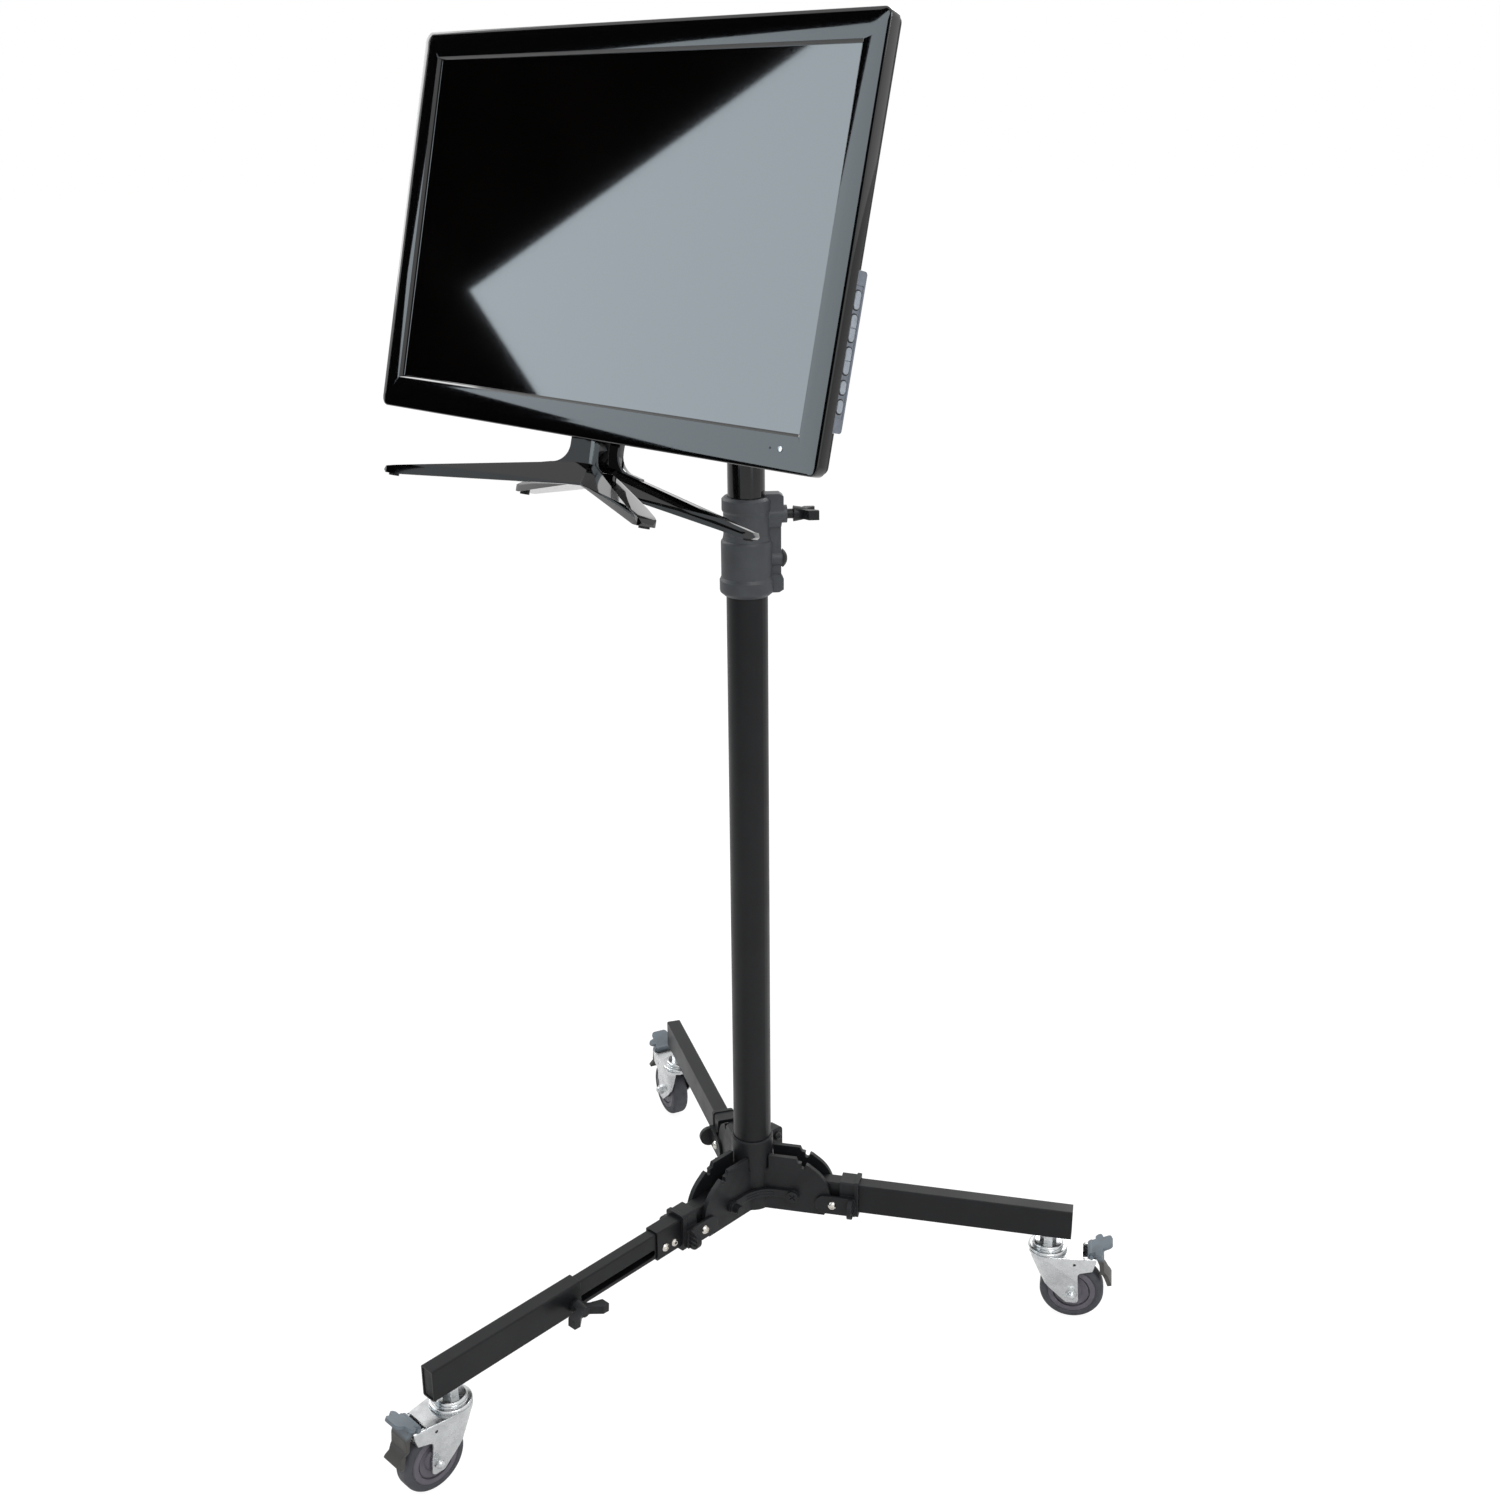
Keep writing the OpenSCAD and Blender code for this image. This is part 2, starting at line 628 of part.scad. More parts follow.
module fork_side() {
    low = wheel_r - 12.5;
    polygon(concat([[-21, shelf_z], [-21.5, shelf_z - 3], [-9, 58.5 * wheel_d / 75], [3.5, wheel_r + 6]],
        arc(trail - 4.5, low + 5, 5, 220, 270, 5), arc(trail + 3.5, low + 5, 5, 270, 355, 6),
        [[trail + 6, shelf_z - 26]], arc(trail + 10.5, shelf_z - 25, 4.5, 180, 95, 5),
        [[trail + 24, shelf_z - 17.5]], arc(trail + 24.5, shelf_z - 11.5, 5, 275, 350, 4),
        arc(brake_x, brake_z, 5.5, 20, 160, 8), [[brake_x - 8, shelf_z - 2], [brake_x - 9.5, shelf_z]]));
}
// Sheet round the raceway's dish, drawn down to the two flat plates
module fork_sheet(inset) {
    hull() {
        translate([0, 0, shelf_z - 5]) cylinder(r = race_r - 0.5 - inset, h = 5 - inset, $fn = 64);
        translate([6, 0, shelf_z - fold_r]) rotate([0, 90, 0]) for (side = [-1, 1])
            translate([0, side * (fork_out - fold_r), 0])
                cylinder(r = fold_r - inset, h = brake_x, $fn = 24);
        translate([0, inset - fork_out, wheel_r + 9]) cube([trail + 16, 2 * (fork_out - inset), 1]);
    }
    // The plates stand upright round the axle
    translate([0, inset - fork_out, wheel_r - 16]) cube([trail + 16, 2 * (fork_out - inset), 25.5]);
}
module caster_fork(i) {
    color(zinc) on_caster(i) difference() {
        union() {
            intersection() {
                difference() {
                    fork_sheet(0);
                    fork_sheet(fork_t);
                    // Open at the front, between the plates
                    translate([-40, -fork_in, 0]) cube([60, 2 * fork_in, shelf_z - fork_t]);
                }
                across(-30, 30) fork_side();
            }
            // The raceway stamped up from the shelf
            translate([0, 0, shelf_z - fork_t]) rotate_extrude($fn = 64)
                polygon(concat([[0, 0], [race_r - 3, 0], [race_r - 1.5, fork_t]],
                    arc(race_r - 2.4, fork_t + 2.6, 2.1, -30, 90, 6), [[18.5, fork_t + 4.8]],
                    [[18, fork_t + 5.6]], arc(15.2, fork_t + 7.2, 2.8, -40, 90, 6), [[0, fork_t + race_h]]));
        }
        // Notch behind the shelf for the pedal's root
        translate([brake_x - 10, -fork_in, shelf_z - 8]) cube([30, 2 * fork_in, 20]);
        translate([0, 0, shelf_z - 20]) cylinder(r = stem_r + run, h = 60);
        translate([trail, 0, wheel_r]) bar_y(axle_r + seat, -30, 30);
        translate([brake_x, 0, brake_z]) bar_y(2.5 + run, -30, 30);
        translate([trail + 1.5, 0, shelf_z - 9]) bar_y(1.8, -30, 30);
    }
}
module caster_fork_right() { caster_fork(0); }
module caster_fork_rear() { caster_fork(1); }
module caster_fork_front() { caster_fork(2); }

module caster_axle(i) {
    color(zinc) on_caster(i) {
        translate([trail, 0, wheel_r]) {
            bar_y(axle_r, -fork_out - 1, fork_out + 1);
            for (side = [0, 180]) rotate([0, 0, side]) {
                translate([0, fork_out, 0]) rotate([-90, 0, 0]) cylinder(r = 6.5, h = 3.5, $fn = 6);
                translate([0, fork_out + 3.5, 0]) rotate([-90, 0, 0]) rotate_extrude()
                    polygon(concat([[0, -1]], arc(0, -1, 5, 4, 90, 6)));
                bar_y(5.4, fork_in - 1.8, fork_in);
            }
        }
    }
}
module caster_axle_right() { caster_axle(0); }
module caster_axle_rear() { caster_axle(1); }
module caster_axle_front() { caster_axle(2); }

tread_in = wheel_r - 9.3;
module caster_tyre(i) {
    h = wheel_w / 2;
    color(tread_grey) on_caster(i) translate([trail, 0, wheel_r]) rotate([-90, 0, 0])
        rotate_extrude($fn = 96) polygon(concat([[tread_in, -h + 1], [tread_in + 2, -h]],
            arc(wheel_r - 6, -h + 6, 6, -80, -12, 6),
            [[wheel_r, 0]], arc(wheel_r - 6, h - 6, 6, 12, 80, 6), [[tread_in + 2, h], [tread_in, h - 1]]));
}
module caster_tyre_right() { caster_tyre(0); }
module caster_tyre_rear() { caster_tyre(1); }
module caster_tyre_front() { caster_tyre(2); }

module caster_core(i) {
    h = wheel_w / 2;
    groove = tread_in - 7;
    side = [[tread_in - seat, h - 1.2], [tread_in - 1, h - 0.2], [groove + 0.6, h - 0.2],
        [groove + 0.3, h - 2.6], [groove - 0.9, h - 2.6], [groove - 1.2, h - 1.2], [13, h - 2.4],
        [11, h + 0.6], [axle_r + run, h + 0.6]];
    color(core_grey) on_caster(i) translate([trail, 0, wheel_r]) rotate([-90, 0, 0])
        rotate_extrude($fn = 96)
            polygon(concat(side, [for (k = [len(side) - 1:-1:0]) [side[k][0], -side[k][1]]]));
}
module caster_core_right() { caster_core(0); }
module caster_core_rear() { caster_core(1); }
module caster_core_front() { caster_core(2); }

// Rocking pedal: an upper tongue to press down, a lower tongue to release
module brake_pedal(i) {
    root = fork_in - 2 * air;
    color(pedal_grey) on_caster(i) translate([brake_x, 0, brake_z]) {
        bar_y(2.5, -fork_out - 0.8, fork_out + 0.8);
        bar_y(4.6, -fork_in + air, fork_in - air);
        // Upper tongue of three lobes, which passes under the leg as the caster swivels
        rotate([0, -pedal_rise, 0]) translate([0, 0, 0.4]) linear_extrude(pedal_t)
            polygon(concat([[-1, -root], [7, -root]], arc(11, -15.5, 4.6, 200, 350, 7), [[17, -11.5]],
                arc(22.5, -6.5, 5, -75, 0, 5), arc(22.5, 6.5, 5, 0, 75, 5), [[17, 11.5]],
                arc(11, 15.5, 4.6, 10, 160, 7), [[7, root], [-1, root]]));
        // Lower tongue, curved clear of the tyre
        intersection() {
            across(-15, 15) polygon(concat([[0, 2], [0, -4], [7, -5], [10, -12]],
                arc(trail - brake_x, wheel_r - brake_z, wheel_r + 6.5, 44, 20, 8),
                arc(trail - brake_x, wheel_r - brake_z, wheel_r + 11.5, 20, 42, 8), [[15, -8], [11, 3]]));
            translate([0, 0, -60]) rotate([90, 0, 90]) linear_extrude(60)
                polygon(concat([[-root, 70], [-root, 38], [-11, 33]], arc(-10, 24, 5, 150, 260, 6),
                    arc(10, 24, 5, -80, 30, 6), [[11, 33], [root, 38], [root, 70]]));
        }
    }
}
module brake_pedal_right() { brake_pedal(0); }
module brake_pedal_rear() { brake_pedal(1); }
module brake_pedal_front() { brake_pedal(2); }

// Riser and head

module riser_tube() {
    color(gloss_black) translate([0, 0, riser_low]) difference() {
        cylinder(r = riser_r, h = riser_len);
        translate([0, 0, -1]) cylinder(r = riser_bore, h = riser_len + 2);
    }
}

module riser_foot_bush() {
    color(black_plastic) translate([0, 0, riser_low]) difference() {
        union() {
            translate([0, 0, -12]) cylinder(r = column_bore - run, h = 12);
            cylinder(r = riser_bore - seat, h = 25);
        }
        translate([0, 0, -13]) cylinder(r = riser_bore - 4, h = 50);
    }
}

module riser_head() {
    color(black_cast) difference() {
        union() {
            translate([0, 0, head_low]) rotate_extrude($fn = 72) polygon([[0, 0], [head_r, 0],
                [head_r + 1, 2], [head_r + 1, 8], [head_r, 10], [head_r, head_top - head_low - 3],
                [head_r - 3, head_top - head_low], [0, head_top - head_low]]);
            // Boss for the lock screw, at the back
            translate([0, 0, head_knob_z]) bar_y(9.5, 0, head_r + 7);
        }
        difference() {
            translate([0, 0, head_low - 1]) cylinder(r = riser_r + seat, h = 31);
            translate([0, 0, head_low - 20]) cylinder(r = spigot_r + 5, h = 60);
        }
        translate([0, 0, head_top - spigot_len]) cylinder(r = spigot_r + run, h = spigot_len + 1);
        translate([0, 0, head_knob_z]) bar_y(screw_r + run, 0, head_r + 10);
    }
}

module head_knob() {
    color(black_plastic) translate([0, head_r + 12, head_knob_z]) rotate([-90, 0, 0]) rotate([0, 0, 20]) {
        translate([0, 0, -5 + air]) cylinder(r = 7, h = 5);
        wing_knob(screw_r, head_r + 12 - spigot_r - air, 22);
    }
}

module pan_arm() {
    z0 = hinge_z - arm_thick / 2;
    color(black_cast) difference() {
        union() {
            translate([0, 0, z0]) cylinder(r = head_r - 3, h = arm_thick);
            translate([0, 0, head_top - spigot_len + 3]) cylinder(r = spigot_r, h = spigot_len);
            // Arm that narrows towards the clevis
            translate([0, 0, z0]) linear_extrude(arm_thick) polygon([[-18, 0], [18, 0],
                [lug_w + ear_w + air, -arm_len + 26], [-lug_w - ear_w - air, -arm_len + 26]]);
            for (side = [-1, 1]) translate([0, -arm_len, hinge_z]) {
                x0 = side > 0 ? lug_w + air : -lug_w - ear_w - air;
                bar_x(hinge_r, x0, x0 + ear_w);
                translate([x0, 0, -arm_thick / 2]) cube([ear_w, 30, arm_thick]);
            }
        }
        translate([0, -arm_len, hinge_z]) bar_x(screw_r + run, -60, 60);
        // Lightening slot in the arm
        translate([0, 0, z0 + arm_thick - 4]) linear_extrude(5)
            polygon([[-9, -24], [9, -24], [6, -arm_len + 34], [-6, -arm_len + 34]]);
    }
}

module tilt_knob() {
    far = lug_w + ear_w + air;
    color(black_plastic) translate([far + 1, -arm_len, hinge_z]) rotate([0, 90, 0]) rotate([0, 0, 35]) {
        wing_knob(screw_r, 2 * far + 8, 22);
        translate([0, 0, -2 * far - 8]) cylinder(r = 7.5, h = 6.5, $fn = 6);
    }
}

module plate_points() {
    for (x = [-1, 1]) for (z = [-1, 1]) translate([x * plate_pitch / 2, 0, z * plate_pitch / 2]) children();
}

module tilt_plate() {
    color(black_cast) on_monitor() difference() {
        union() {
            across(plate_front, plate_front + plate_t) rounded(plate_w, plate_w, 8);
            translate([0, mon_reach, 0]) bar_x(hinge_r - 1, -lug_w, lug_w);
            translate([-lug_w, plate_front + plate_t - 1, -hinge_r + 1])
                cube([2 * lug_w, mon_reach - plate_front - plate_t + 1, 2 * hinge_r - 2]);
        }
        translate([0, mon_reach, 0]) bar_x(screw_r + run, -40, 40);
        plate_points() bar_y(2.2, plate_front - 1, plate_front + plate_t + 1);
        // Window that lightens the plate above and below the lug
        for (z = [-36, 36]) across(plate_front - 1, plate_front + plate_t + 1)
            translate([0, z]) rounded(56, 20, 8);
    }
}

module plate_screws() {
    color(zinc) on_monitor() plate_points() difference() {
        union() {
            bar_y(2, plate_front - 8, plate_front + plate_t);
            translate([0, plate_front + plate_t, 0]) rotate([-90, 0, 0]) rotate_extrude()
                polygon(concat([[0, 0], [4, 0]], arc(1.4, 0, 2.6, 0, 90, 5), [[0, 2.6]]));
        }
        for (a = [0, 90])
            rotate([0, a, 0]) translate([-2, plate_front + plate_t + 1.6, -0.5]) cube([4, 3, 1]);
    }
}

// Monitor: front plane at y = 0, centre at the origin, depth along +Y

module front_bezel() {
    color(gloss_black) on_monitor() difference() {
        union() {
            across(1.5, bezel_depth) rounded(mon_w, mon_h, corner_r);
            across(0, 1.6) rounded(mon_w - 2.4, mon_h - 2.4, corner_r - 1);
        }
        translate([0, 0, screen_rise]) {
            across(-1, bezel_depth + 1) rounded(opening_w, opening_h, 2);
            // Chamfer round the opening, and the recess that holds the panel
            hull() {
                across(-0.1, 0) rounded(opening_w + 5, opening_h + 5, 3);
                across(2.4, 2.5) rounded(opening_w, opening_h, 2);
            }
            across(lip_t, bezel_depth + 1) rounded(opening_w + 14, opening_h + 14, 2);
        }
    }
}

module lcd_panel() {
    color(glass_grey) on_monitor() translate([0, 0, screen_rise]) {
        across(lip_t + seat, lip_t + panel_t) rounded(opening_w + 13, opening_h + 13, 2);
    }
}

rear_inset = 3;
module rear_block(shrink) {
    w = mon_w - 2 * rear_inset - 2 * shrink;
    h = mon_h - 2 * rear_inset - 2 * shrink;
    y1 = bezel_depth + rim_depth - shrink;
    hull() {
        across(bezel_depth - (shrink > 0 ? 1 : 0), bezel_depth + 6) rounded(w, h, corner_r - 2);
        across(y1 - 1, y1) rounded(w - 44, h - 44, 20);
    }
    hull() {
        across(y1 - 2, y1 - 1) rounded(w * 0.74, h * 0.72, 24);
        across(y1 + hump_depth - 1, y1 + hump_depth) rounded(w * 0.56, h * 0.5, 20);
    }
}
module rear_cover() {
    color(black_plastic) on_monitor() difference() {
        union() {
            difference() {
                rear_block(0);
                rear_block(skin);
            }
            // Bosses behind the mounting holes
            plate_points() bar_y(5, bezel_depth + rim_depth, rear_depth - 1);
            // Socket for the table foot's tang
            across(bezel_depth + 1, foot_y + 18) polygon([[-neck_r - 10, neck_top],
                [neck_r + 10, neck_top], [neck_r + 10, neck_top + 37], [neck_r + 3, neck_top + 53],
                [-neck_r - 3, neck_top + 53], [-neck_r - 10, neck_top + 37]]);
        }
        translate([-tang_w / 2 - seat, foot_y - tang_d / 2 - seat, neck_top - 1])
            cube([tang_w + 2 * seat, tang_d + 2 * seat, tang_len + 1.2]);
        plate_points() bar_y(2 + seat, bezel_depth + rim_depth - 5, rear_depth + 1);
        // Vents along the top of the hump, and the inlet recess below it
        for (k = [-9:9]) translate([k * 16 - 4, 0, mon_h * 0.3])
            translate([0, bezel_depth + rim_depth - 6, -7]) cube([8, 30, 2.4]);
        translate([60, bezel_depth + rim_depth - 1, -mon_h * 0.33 - 14]) cube([48, 30, 27]);
        // Room for the key pod at the side
        translate([mon_w / 2 - 22, bezel_depth - 1, pod_top - pod_len - air])
            cube([30, 60, pod_len + 2 * air]);
    }
}

pod_x = mon_w / 2 - 6;
module button_pod() {
    y0 = bezel_depth + seat;
    color(pod_grey) on_monitor() translate([0, 0, pod_top - pod_len / 2]) difference() {
        translate([pod_x - 15, 0, 0]) rotate([90, 0, 90]) linear_extrude(15 + pod_out)
            translate([y0 + pod_depth / 2, 0]) rounded(pod_depth, pod_len, 3);
        // Shallow panel that the keys stand in
        translate([pod_x + pod_out - 0.6, y0 + 2, -pod_len / 2 + 12]) cube([2, pod_depth - 4, pod_len - 24]);
        for (k = key_rows) translate([0, y0 + pod_depth / 2, k[0] - pod_top + pod_len / 2])
            translate([pod_x + pod_out - 4, 0, 0]) rotate([90, 0, 90]) linear_extrude(6)
                rounded(7 + 2 * air, k[1] + 2 * air, 3.2);
    }
}

// Keys: height of the middle on the monitor, and length
key_rows = [[-40, 15], [-63, 22], [-90, 22], [-112, 11], [-128, 11]];
module key(k) {
    face = pod_x + pod_out - 0.6;
    low = face - 3.2 + key_travel;
    color(key_grey) on_monitor() translate([0, bezel_depth + seat + pod_depth / 2, key_rows[k][0]])
        difference() {
            translate([low, 0, 0]) rotate([90, 0, 90])
                linear_extrude(face + key_proud - low) rounded(7, key_rows[k][1], 3);
            // A rocker has a dividing groove and a pivot bore
            if (k == 1 || k == 2) {
                translate([face + 0.3, -5, -0.4]) cube([2, 10, 0.8]);
                translate([face - 1, 0, 0]) bar_y(0.6, -5, 5);
            }
        }
}
module key_input() { key(0); }
module key_volume() { key(1); }
module key_menu() { key(2); }
module key_select() { key(3); }
module key_power() { key(4); }

// Table foot: four tapered arms that rise into a neck of X section, plugged into the rear cover
foot_y = 33;
foot_x = 184;
arm_rise = 20;
foot_back_x = 166;
foot_front = 101;
foot_back = 58;
neck_top = -mon_h / 2 + rear_inset;
foot_low = -mon_h / 2 - neck_len;
neck_r = 26;
tang_w = 26;
tang_d = 12;
tang_len = 28;
module foot_arm(len) {
    // Ridge that tapers in height and width to a blunt toe
    intersection() {
        across(-14, 14) polygon([[-3, arm_rise + 2], [24, arm_rise], [len - 14, 0.5], [len - 3, 0.5],
            [len, 3], [len - 3, 7], [len - 12, 9], [24, arm_rise + 22], [-3, arm_rise + 23]]);
        translate([0, 0, -1]) linear_extrude(arm_rise + 40) polygon([[-3, -13.5], [22, -13.5],
            [len - 14, -9.5], [len - 4, -8.5], [len, -5], [len, 5], [len - 4, 8.5], [len - 14, 9.5],
            [22, 13.5], [-3, 13.5]]);
        // Sides lean in to a narrow ridge
        translate([0, 0, arm_rise]) rotate([0, atan2(arm_rise, len - 24), 0])
            translate([-12, 0, -6]) rotate([90, 0, 90]) linear_extrude(len + 24)
                polygon([[-14, 0], [14, 0], [14, 9], [4.5, 33], [-4.5, 33], [-14, 9]]);
    }
}
module foot_fin() {
    // Fin that rises past the neck's top through a round root
    top = neck_top - foot_low + 5;
    low = arm_rise + 8;
    across(-5, 5) polygon(concat([[-2.5, low], [neck_r + 28, low], [neck_r + 26, low + 9]],
        arc(neck_r + 19, low + 30, 19, 265, 180, 8), [[neck_r, top], [-2.5, top]]));
}
module table_foot() {
    back = [foot_back_x, foot_back];
    front = [foot_x, -foot_front];
    color(gloss_black) on_monitor() {
        intersection() {
            translate([0, foot_y, foot_low]) rotate([-foot_lean, 0, 0])
                for (side = [-1, 1]) for (end = [front, back]) rotate([0, 0, atan2(end[1], side * end[0])]) {
                    foot_arm(norm(end) + 4);
                    foot_fin();
                }
            translate([-250, -200, foot_low - 20]) cube([500, 400, neck_top - foot_low + 20]);
        }
        translate([-tang_w / 2, foot_y - tang_d / 2, foot_low + arm_rise + 14])
            cube([tang_w, tang_d, neck_top - foot_low - arm_rise - 14 + tang_len]);
    }
}
module foot_pads() {
    color(black_plastic) on_monitor() translate([0, foot_y, foot_low]) rotate([-foot_lean, 0, 0])
        for (side = [-1, 1]) for (end = [[foot_x, -foot_front], [foot_back_x, foot_back]])
            rotate([0, 0, atan2(end[1], side * end[0])]) translate([norm(end) - 5, 0, -1.5])
                cylinder(r = 5, h = 2);
}

hub_casting();
lower_column();
pivot_pins();
corner_straps();
riser_clamp();
clamp_set_screw();
clamp_handle();
leg_tube_right();
leg_tube_rear();
leg_stub_front();
leg_inner_front();
leg_slider_front();
leg_cap_right();
leg_cap_rear();
leg_cap_front();
stub_fasteners();
slider_knob();
latch_collar_right();
latch_collar_rear();
latch_collar_front();
latch_pin_right();
latch_pin_rear();
latch_pin_front();
caster_stem_right();
caster_stem_rear();
caster_stem_front();
caster_fork_right();
caster_fork_rear();
caster_fork_front();
caster_axle_right();
caster_axle_rear();
caster_axle_front();
caster_tyre_right();
caster_tyre_rear();
caster_tyre_front();
caster_core_right();
caster_core_rear();
caster_core_front();
brake_pedal_right();
brake_pedal_rear();
brake_pedal_front();
riser_tube();
riser_foot_bush();
riser_head();
head_knob();
pan_arm();
tilt_plate();
tilt_knob();
plate_screws();
rear_cover();
front_bezel();
lcd_panel();
button_pod();
table_foot();
foot_pads();
key_input();
key_volume();
key_menu();
key_select();
key_power();
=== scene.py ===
import json
import math

import bpy
from mathutils import Matrix, Vector


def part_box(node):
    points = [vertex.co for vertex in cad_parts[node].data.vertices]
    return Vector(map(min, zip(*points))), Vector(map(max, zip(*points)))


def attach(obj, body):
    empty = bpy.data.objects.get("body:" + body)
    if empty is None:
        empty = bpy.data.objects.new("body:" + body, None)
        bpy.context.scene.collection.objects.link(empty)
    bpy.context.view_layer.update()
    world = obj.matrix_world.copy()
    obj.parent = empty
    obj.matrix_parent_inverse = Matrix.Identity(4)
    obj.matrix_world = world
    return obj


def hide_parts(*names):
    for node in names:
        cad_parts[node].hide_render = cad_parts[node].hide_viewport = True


bl_info = {
    "name": "Rolling Monitor Stand",
    "version": (1, 0, 0),
    "blender": (4, 5, 0),
    "location": "View3D > Sidebar > Stand",
    "description": "Finishes the rolling monitor stand: paints, metals, plastics, glossy monitor and studio",
    "category": "Object",
}

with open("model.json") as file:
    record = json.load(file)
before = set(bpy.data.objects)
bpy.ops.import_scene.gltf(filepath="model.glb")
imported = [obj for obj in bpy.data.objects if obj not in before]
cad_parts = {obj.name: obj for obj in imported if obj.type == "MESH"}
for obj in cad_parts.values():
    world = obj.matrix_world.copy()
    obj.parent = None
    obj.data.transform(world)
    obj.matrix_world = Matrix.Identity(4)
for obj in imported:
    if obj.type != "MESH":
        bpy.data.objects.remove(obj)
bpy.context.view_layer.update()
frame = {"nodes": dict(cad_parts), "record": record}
NODES = frame["nodes"]
BODY_OF = {node: body for body, nodes in frame["record"]["behaviour"]["bodies"].items() for node in nodes}
SIDES = ("right", "rear", "front")
KEYS = ("input", "volume", "menu", "select", "power")
MM = 0.001
# Faces that meet at less than this are shaded as one
SMOOTH_BELOW = math.radians(35)


# Colours


def linear(hex_colour):
    """An sRGB hex colour as linear red, green, blue and alpha."""
    parts = [int(hex_colour[i : i + 2], 16) / 255 for i in (0, 2, 4)]
    return [c / 12.92 if c <= 0.04045 else ((c + 0.055) / 1.055) ** 2.4 for c in parts] + [1.0]


def shade(colour, amount):
    """A lighter or darker copy of a linear colour."""
    return [min(1.0, c * amount) for c in colour[:3]] + [1.0]


def colour_setting(name, description, hex_colour):
    """A colour that the user may change, with its default."""
    return bpy.props.FloatVectorProperty(
        name=name, description=description, subtype="COLOR", size=4, min=0, max=1, default=linear(hex_colour)
    )


def length_setting(name, description, millimetres):
    """A length that the user may change, in metres, with its default given in millimetres."""
    return bpy.props.FloatProperty(
        name=name, description=description, subtype="DISTANCE", unit="LENGTH", min=0, default=millimetres * MM
    )


class STAND_PG_colours(bpy.types.PropertyGroup):
    """Colours of the finishes."""

    coat: colour_setting("Powder coat", "Column and legs", "121315")
    nylon: colour_setting("Black nylon", "Hub, latch collars, caps and knobs", "17181a")
    casting: colour_setting("Casting paint", "Clamp casting and head", "393c40")
    gloss: colour_setting("Gloss black", "Monitor shell, table foot and riser", "050506")
    back: colour_setting("Rear cover", "Satin back of the monitor", "141416")
    zinc: colour_setting("Bright zinc", "Caster forks, stems and axles", "cfd1d2")
    nickel: colour_setting("Nickel", "Button-head screws and latch bolts", "d8d4cc")
    tread: colour_setting("Tread", "Rubber tread of the wheels", "3c3d43")
    core: colour_setting("Wheel core", "Moulded core of the wheels", "5a575f")
    pedal: colour_setting("Brake pedal", "Upper tongue of the brake pedals", "68727a")
    pod: colour_setting("Key strip", "Recessed strip on the monitor's side", "6c727c")
    key: colour_setting("Keys", "The five side keys", "969da6")


class STAND_PG_sizes(bpy.types.PropertyGroup):
    """Sizes of the fine detail and of the camera."""

    shell_edge: length_setting("Shell edge", "Radius of the monitor shell's moulded edges", 1.2)
    crown_width: length_setting("Crown width", "Width of the bowed band on the front frame's outer edge", 12)
    crown_depth: length_setting("Crown depth", "How far the front frame's outer edge falls back", 0.7)
    foot_edge: length_setting("Foot edge", "Radius of the table foot's moulded edges", 1.6)
    ring: length_setting("Power ring", "Outside radius of the ring round the power light", 2.6)
    light: length_setting("Receiver", "Radius of the small receiver window", 1.0)
    # The dark gap round each key is painted shade: a dark ring at the strip's face
    key_gap: length_setting("Key gap", "Width of the dark gap round each side key", 1.1)
    lens: bpy.props.FloatProperty(name="Lens", description="Camera lens in mm", min=10, default=41.83)


# Nodes of the materials


def add(tree, kind, links=None, **settings):
    """Adds a node, sets its properties and sockets, and links named sockets to other nodes' outputs."""
    made = tree.nodes.new(kind)
    for key, value in settings.items():
        if hasattr(made, key) and key not in made.inputs:
            setattr(made, key, value)
        else:
            made.inputs[key.replace("_", " ") if key not in made.inputs else key].default_value = value
    for key, output in (links or {}).items():
        tree.links.new(output, made.inputs[key])
    return made


def start_material(name, colour, roughness, metallic=0.0, **extra):
    """A new material with its Principled shader set to plain values."""
    mat = bpy.data.materials.new(name)
    mat.use_nodes = True
    shader = mat.node_tree.nodes["Principled BSDF"]
    shader.inputs["Base Color"].default_value = colour
    shader.inputs["Roughness"].default_value = roughness
    shader.inputs["Metallic"].default_value = metallic
    for socket, value in extra.items():
        shader.inputs[socket.replace("_", " ")].default_value = value
    return mat, mat.node_tree, shader


def grain(tree, size_mm, detail=2.0, stretch=(1, 1, 1)):
    """Noise on the object's own coordinates, with features of a real size."""
    place = add(tree, "ShaderNodeTexCoord")
    spread = add(tree, "ShaderNodeMapping", {"Vector": place.outputs["Object"]}, Scale=stretch)
    noise = add(tree, "ShaderNodeTexNoise", {"Vector": spread.outputs["Vector"]}, Detail=detail)
    noise.inputs["Scale"].default_value = 1 / (size_mm * MM)
    return noise


def vary_colour(tree, shader, noise, colour, darker, lighter):
    """Drifts the colour a little with a noise."""
    ramp = add(tree, "ShaderNodeValToRGB", {"Fac": noise.outputs["Fac"]})
    for element, place, amount in zip(ramp.color_ramp.elements, (0.3, 0.7), (darker, lighter)):
        element.position = place
        element.color = shade(colour, amount)
    tree.links.new(ramp.outputs["Color"], shader.inputs["Base Color"])
    return ramp


def vary_roughness(tree, shader, noise, low, high):
    """Runs the roughness between two values with a noise."""
    spread = add(
        tree,
        "ShaderNodeMapRange",
        {"Value": noise.outputs["Fac"]},
        **{"From Min": 0.3, "From Max": 0.7, "To Min": low, "To Max": high},
    )
    tree.links.new(spread.outputs["Result"], shader.inputs["Roughness"])


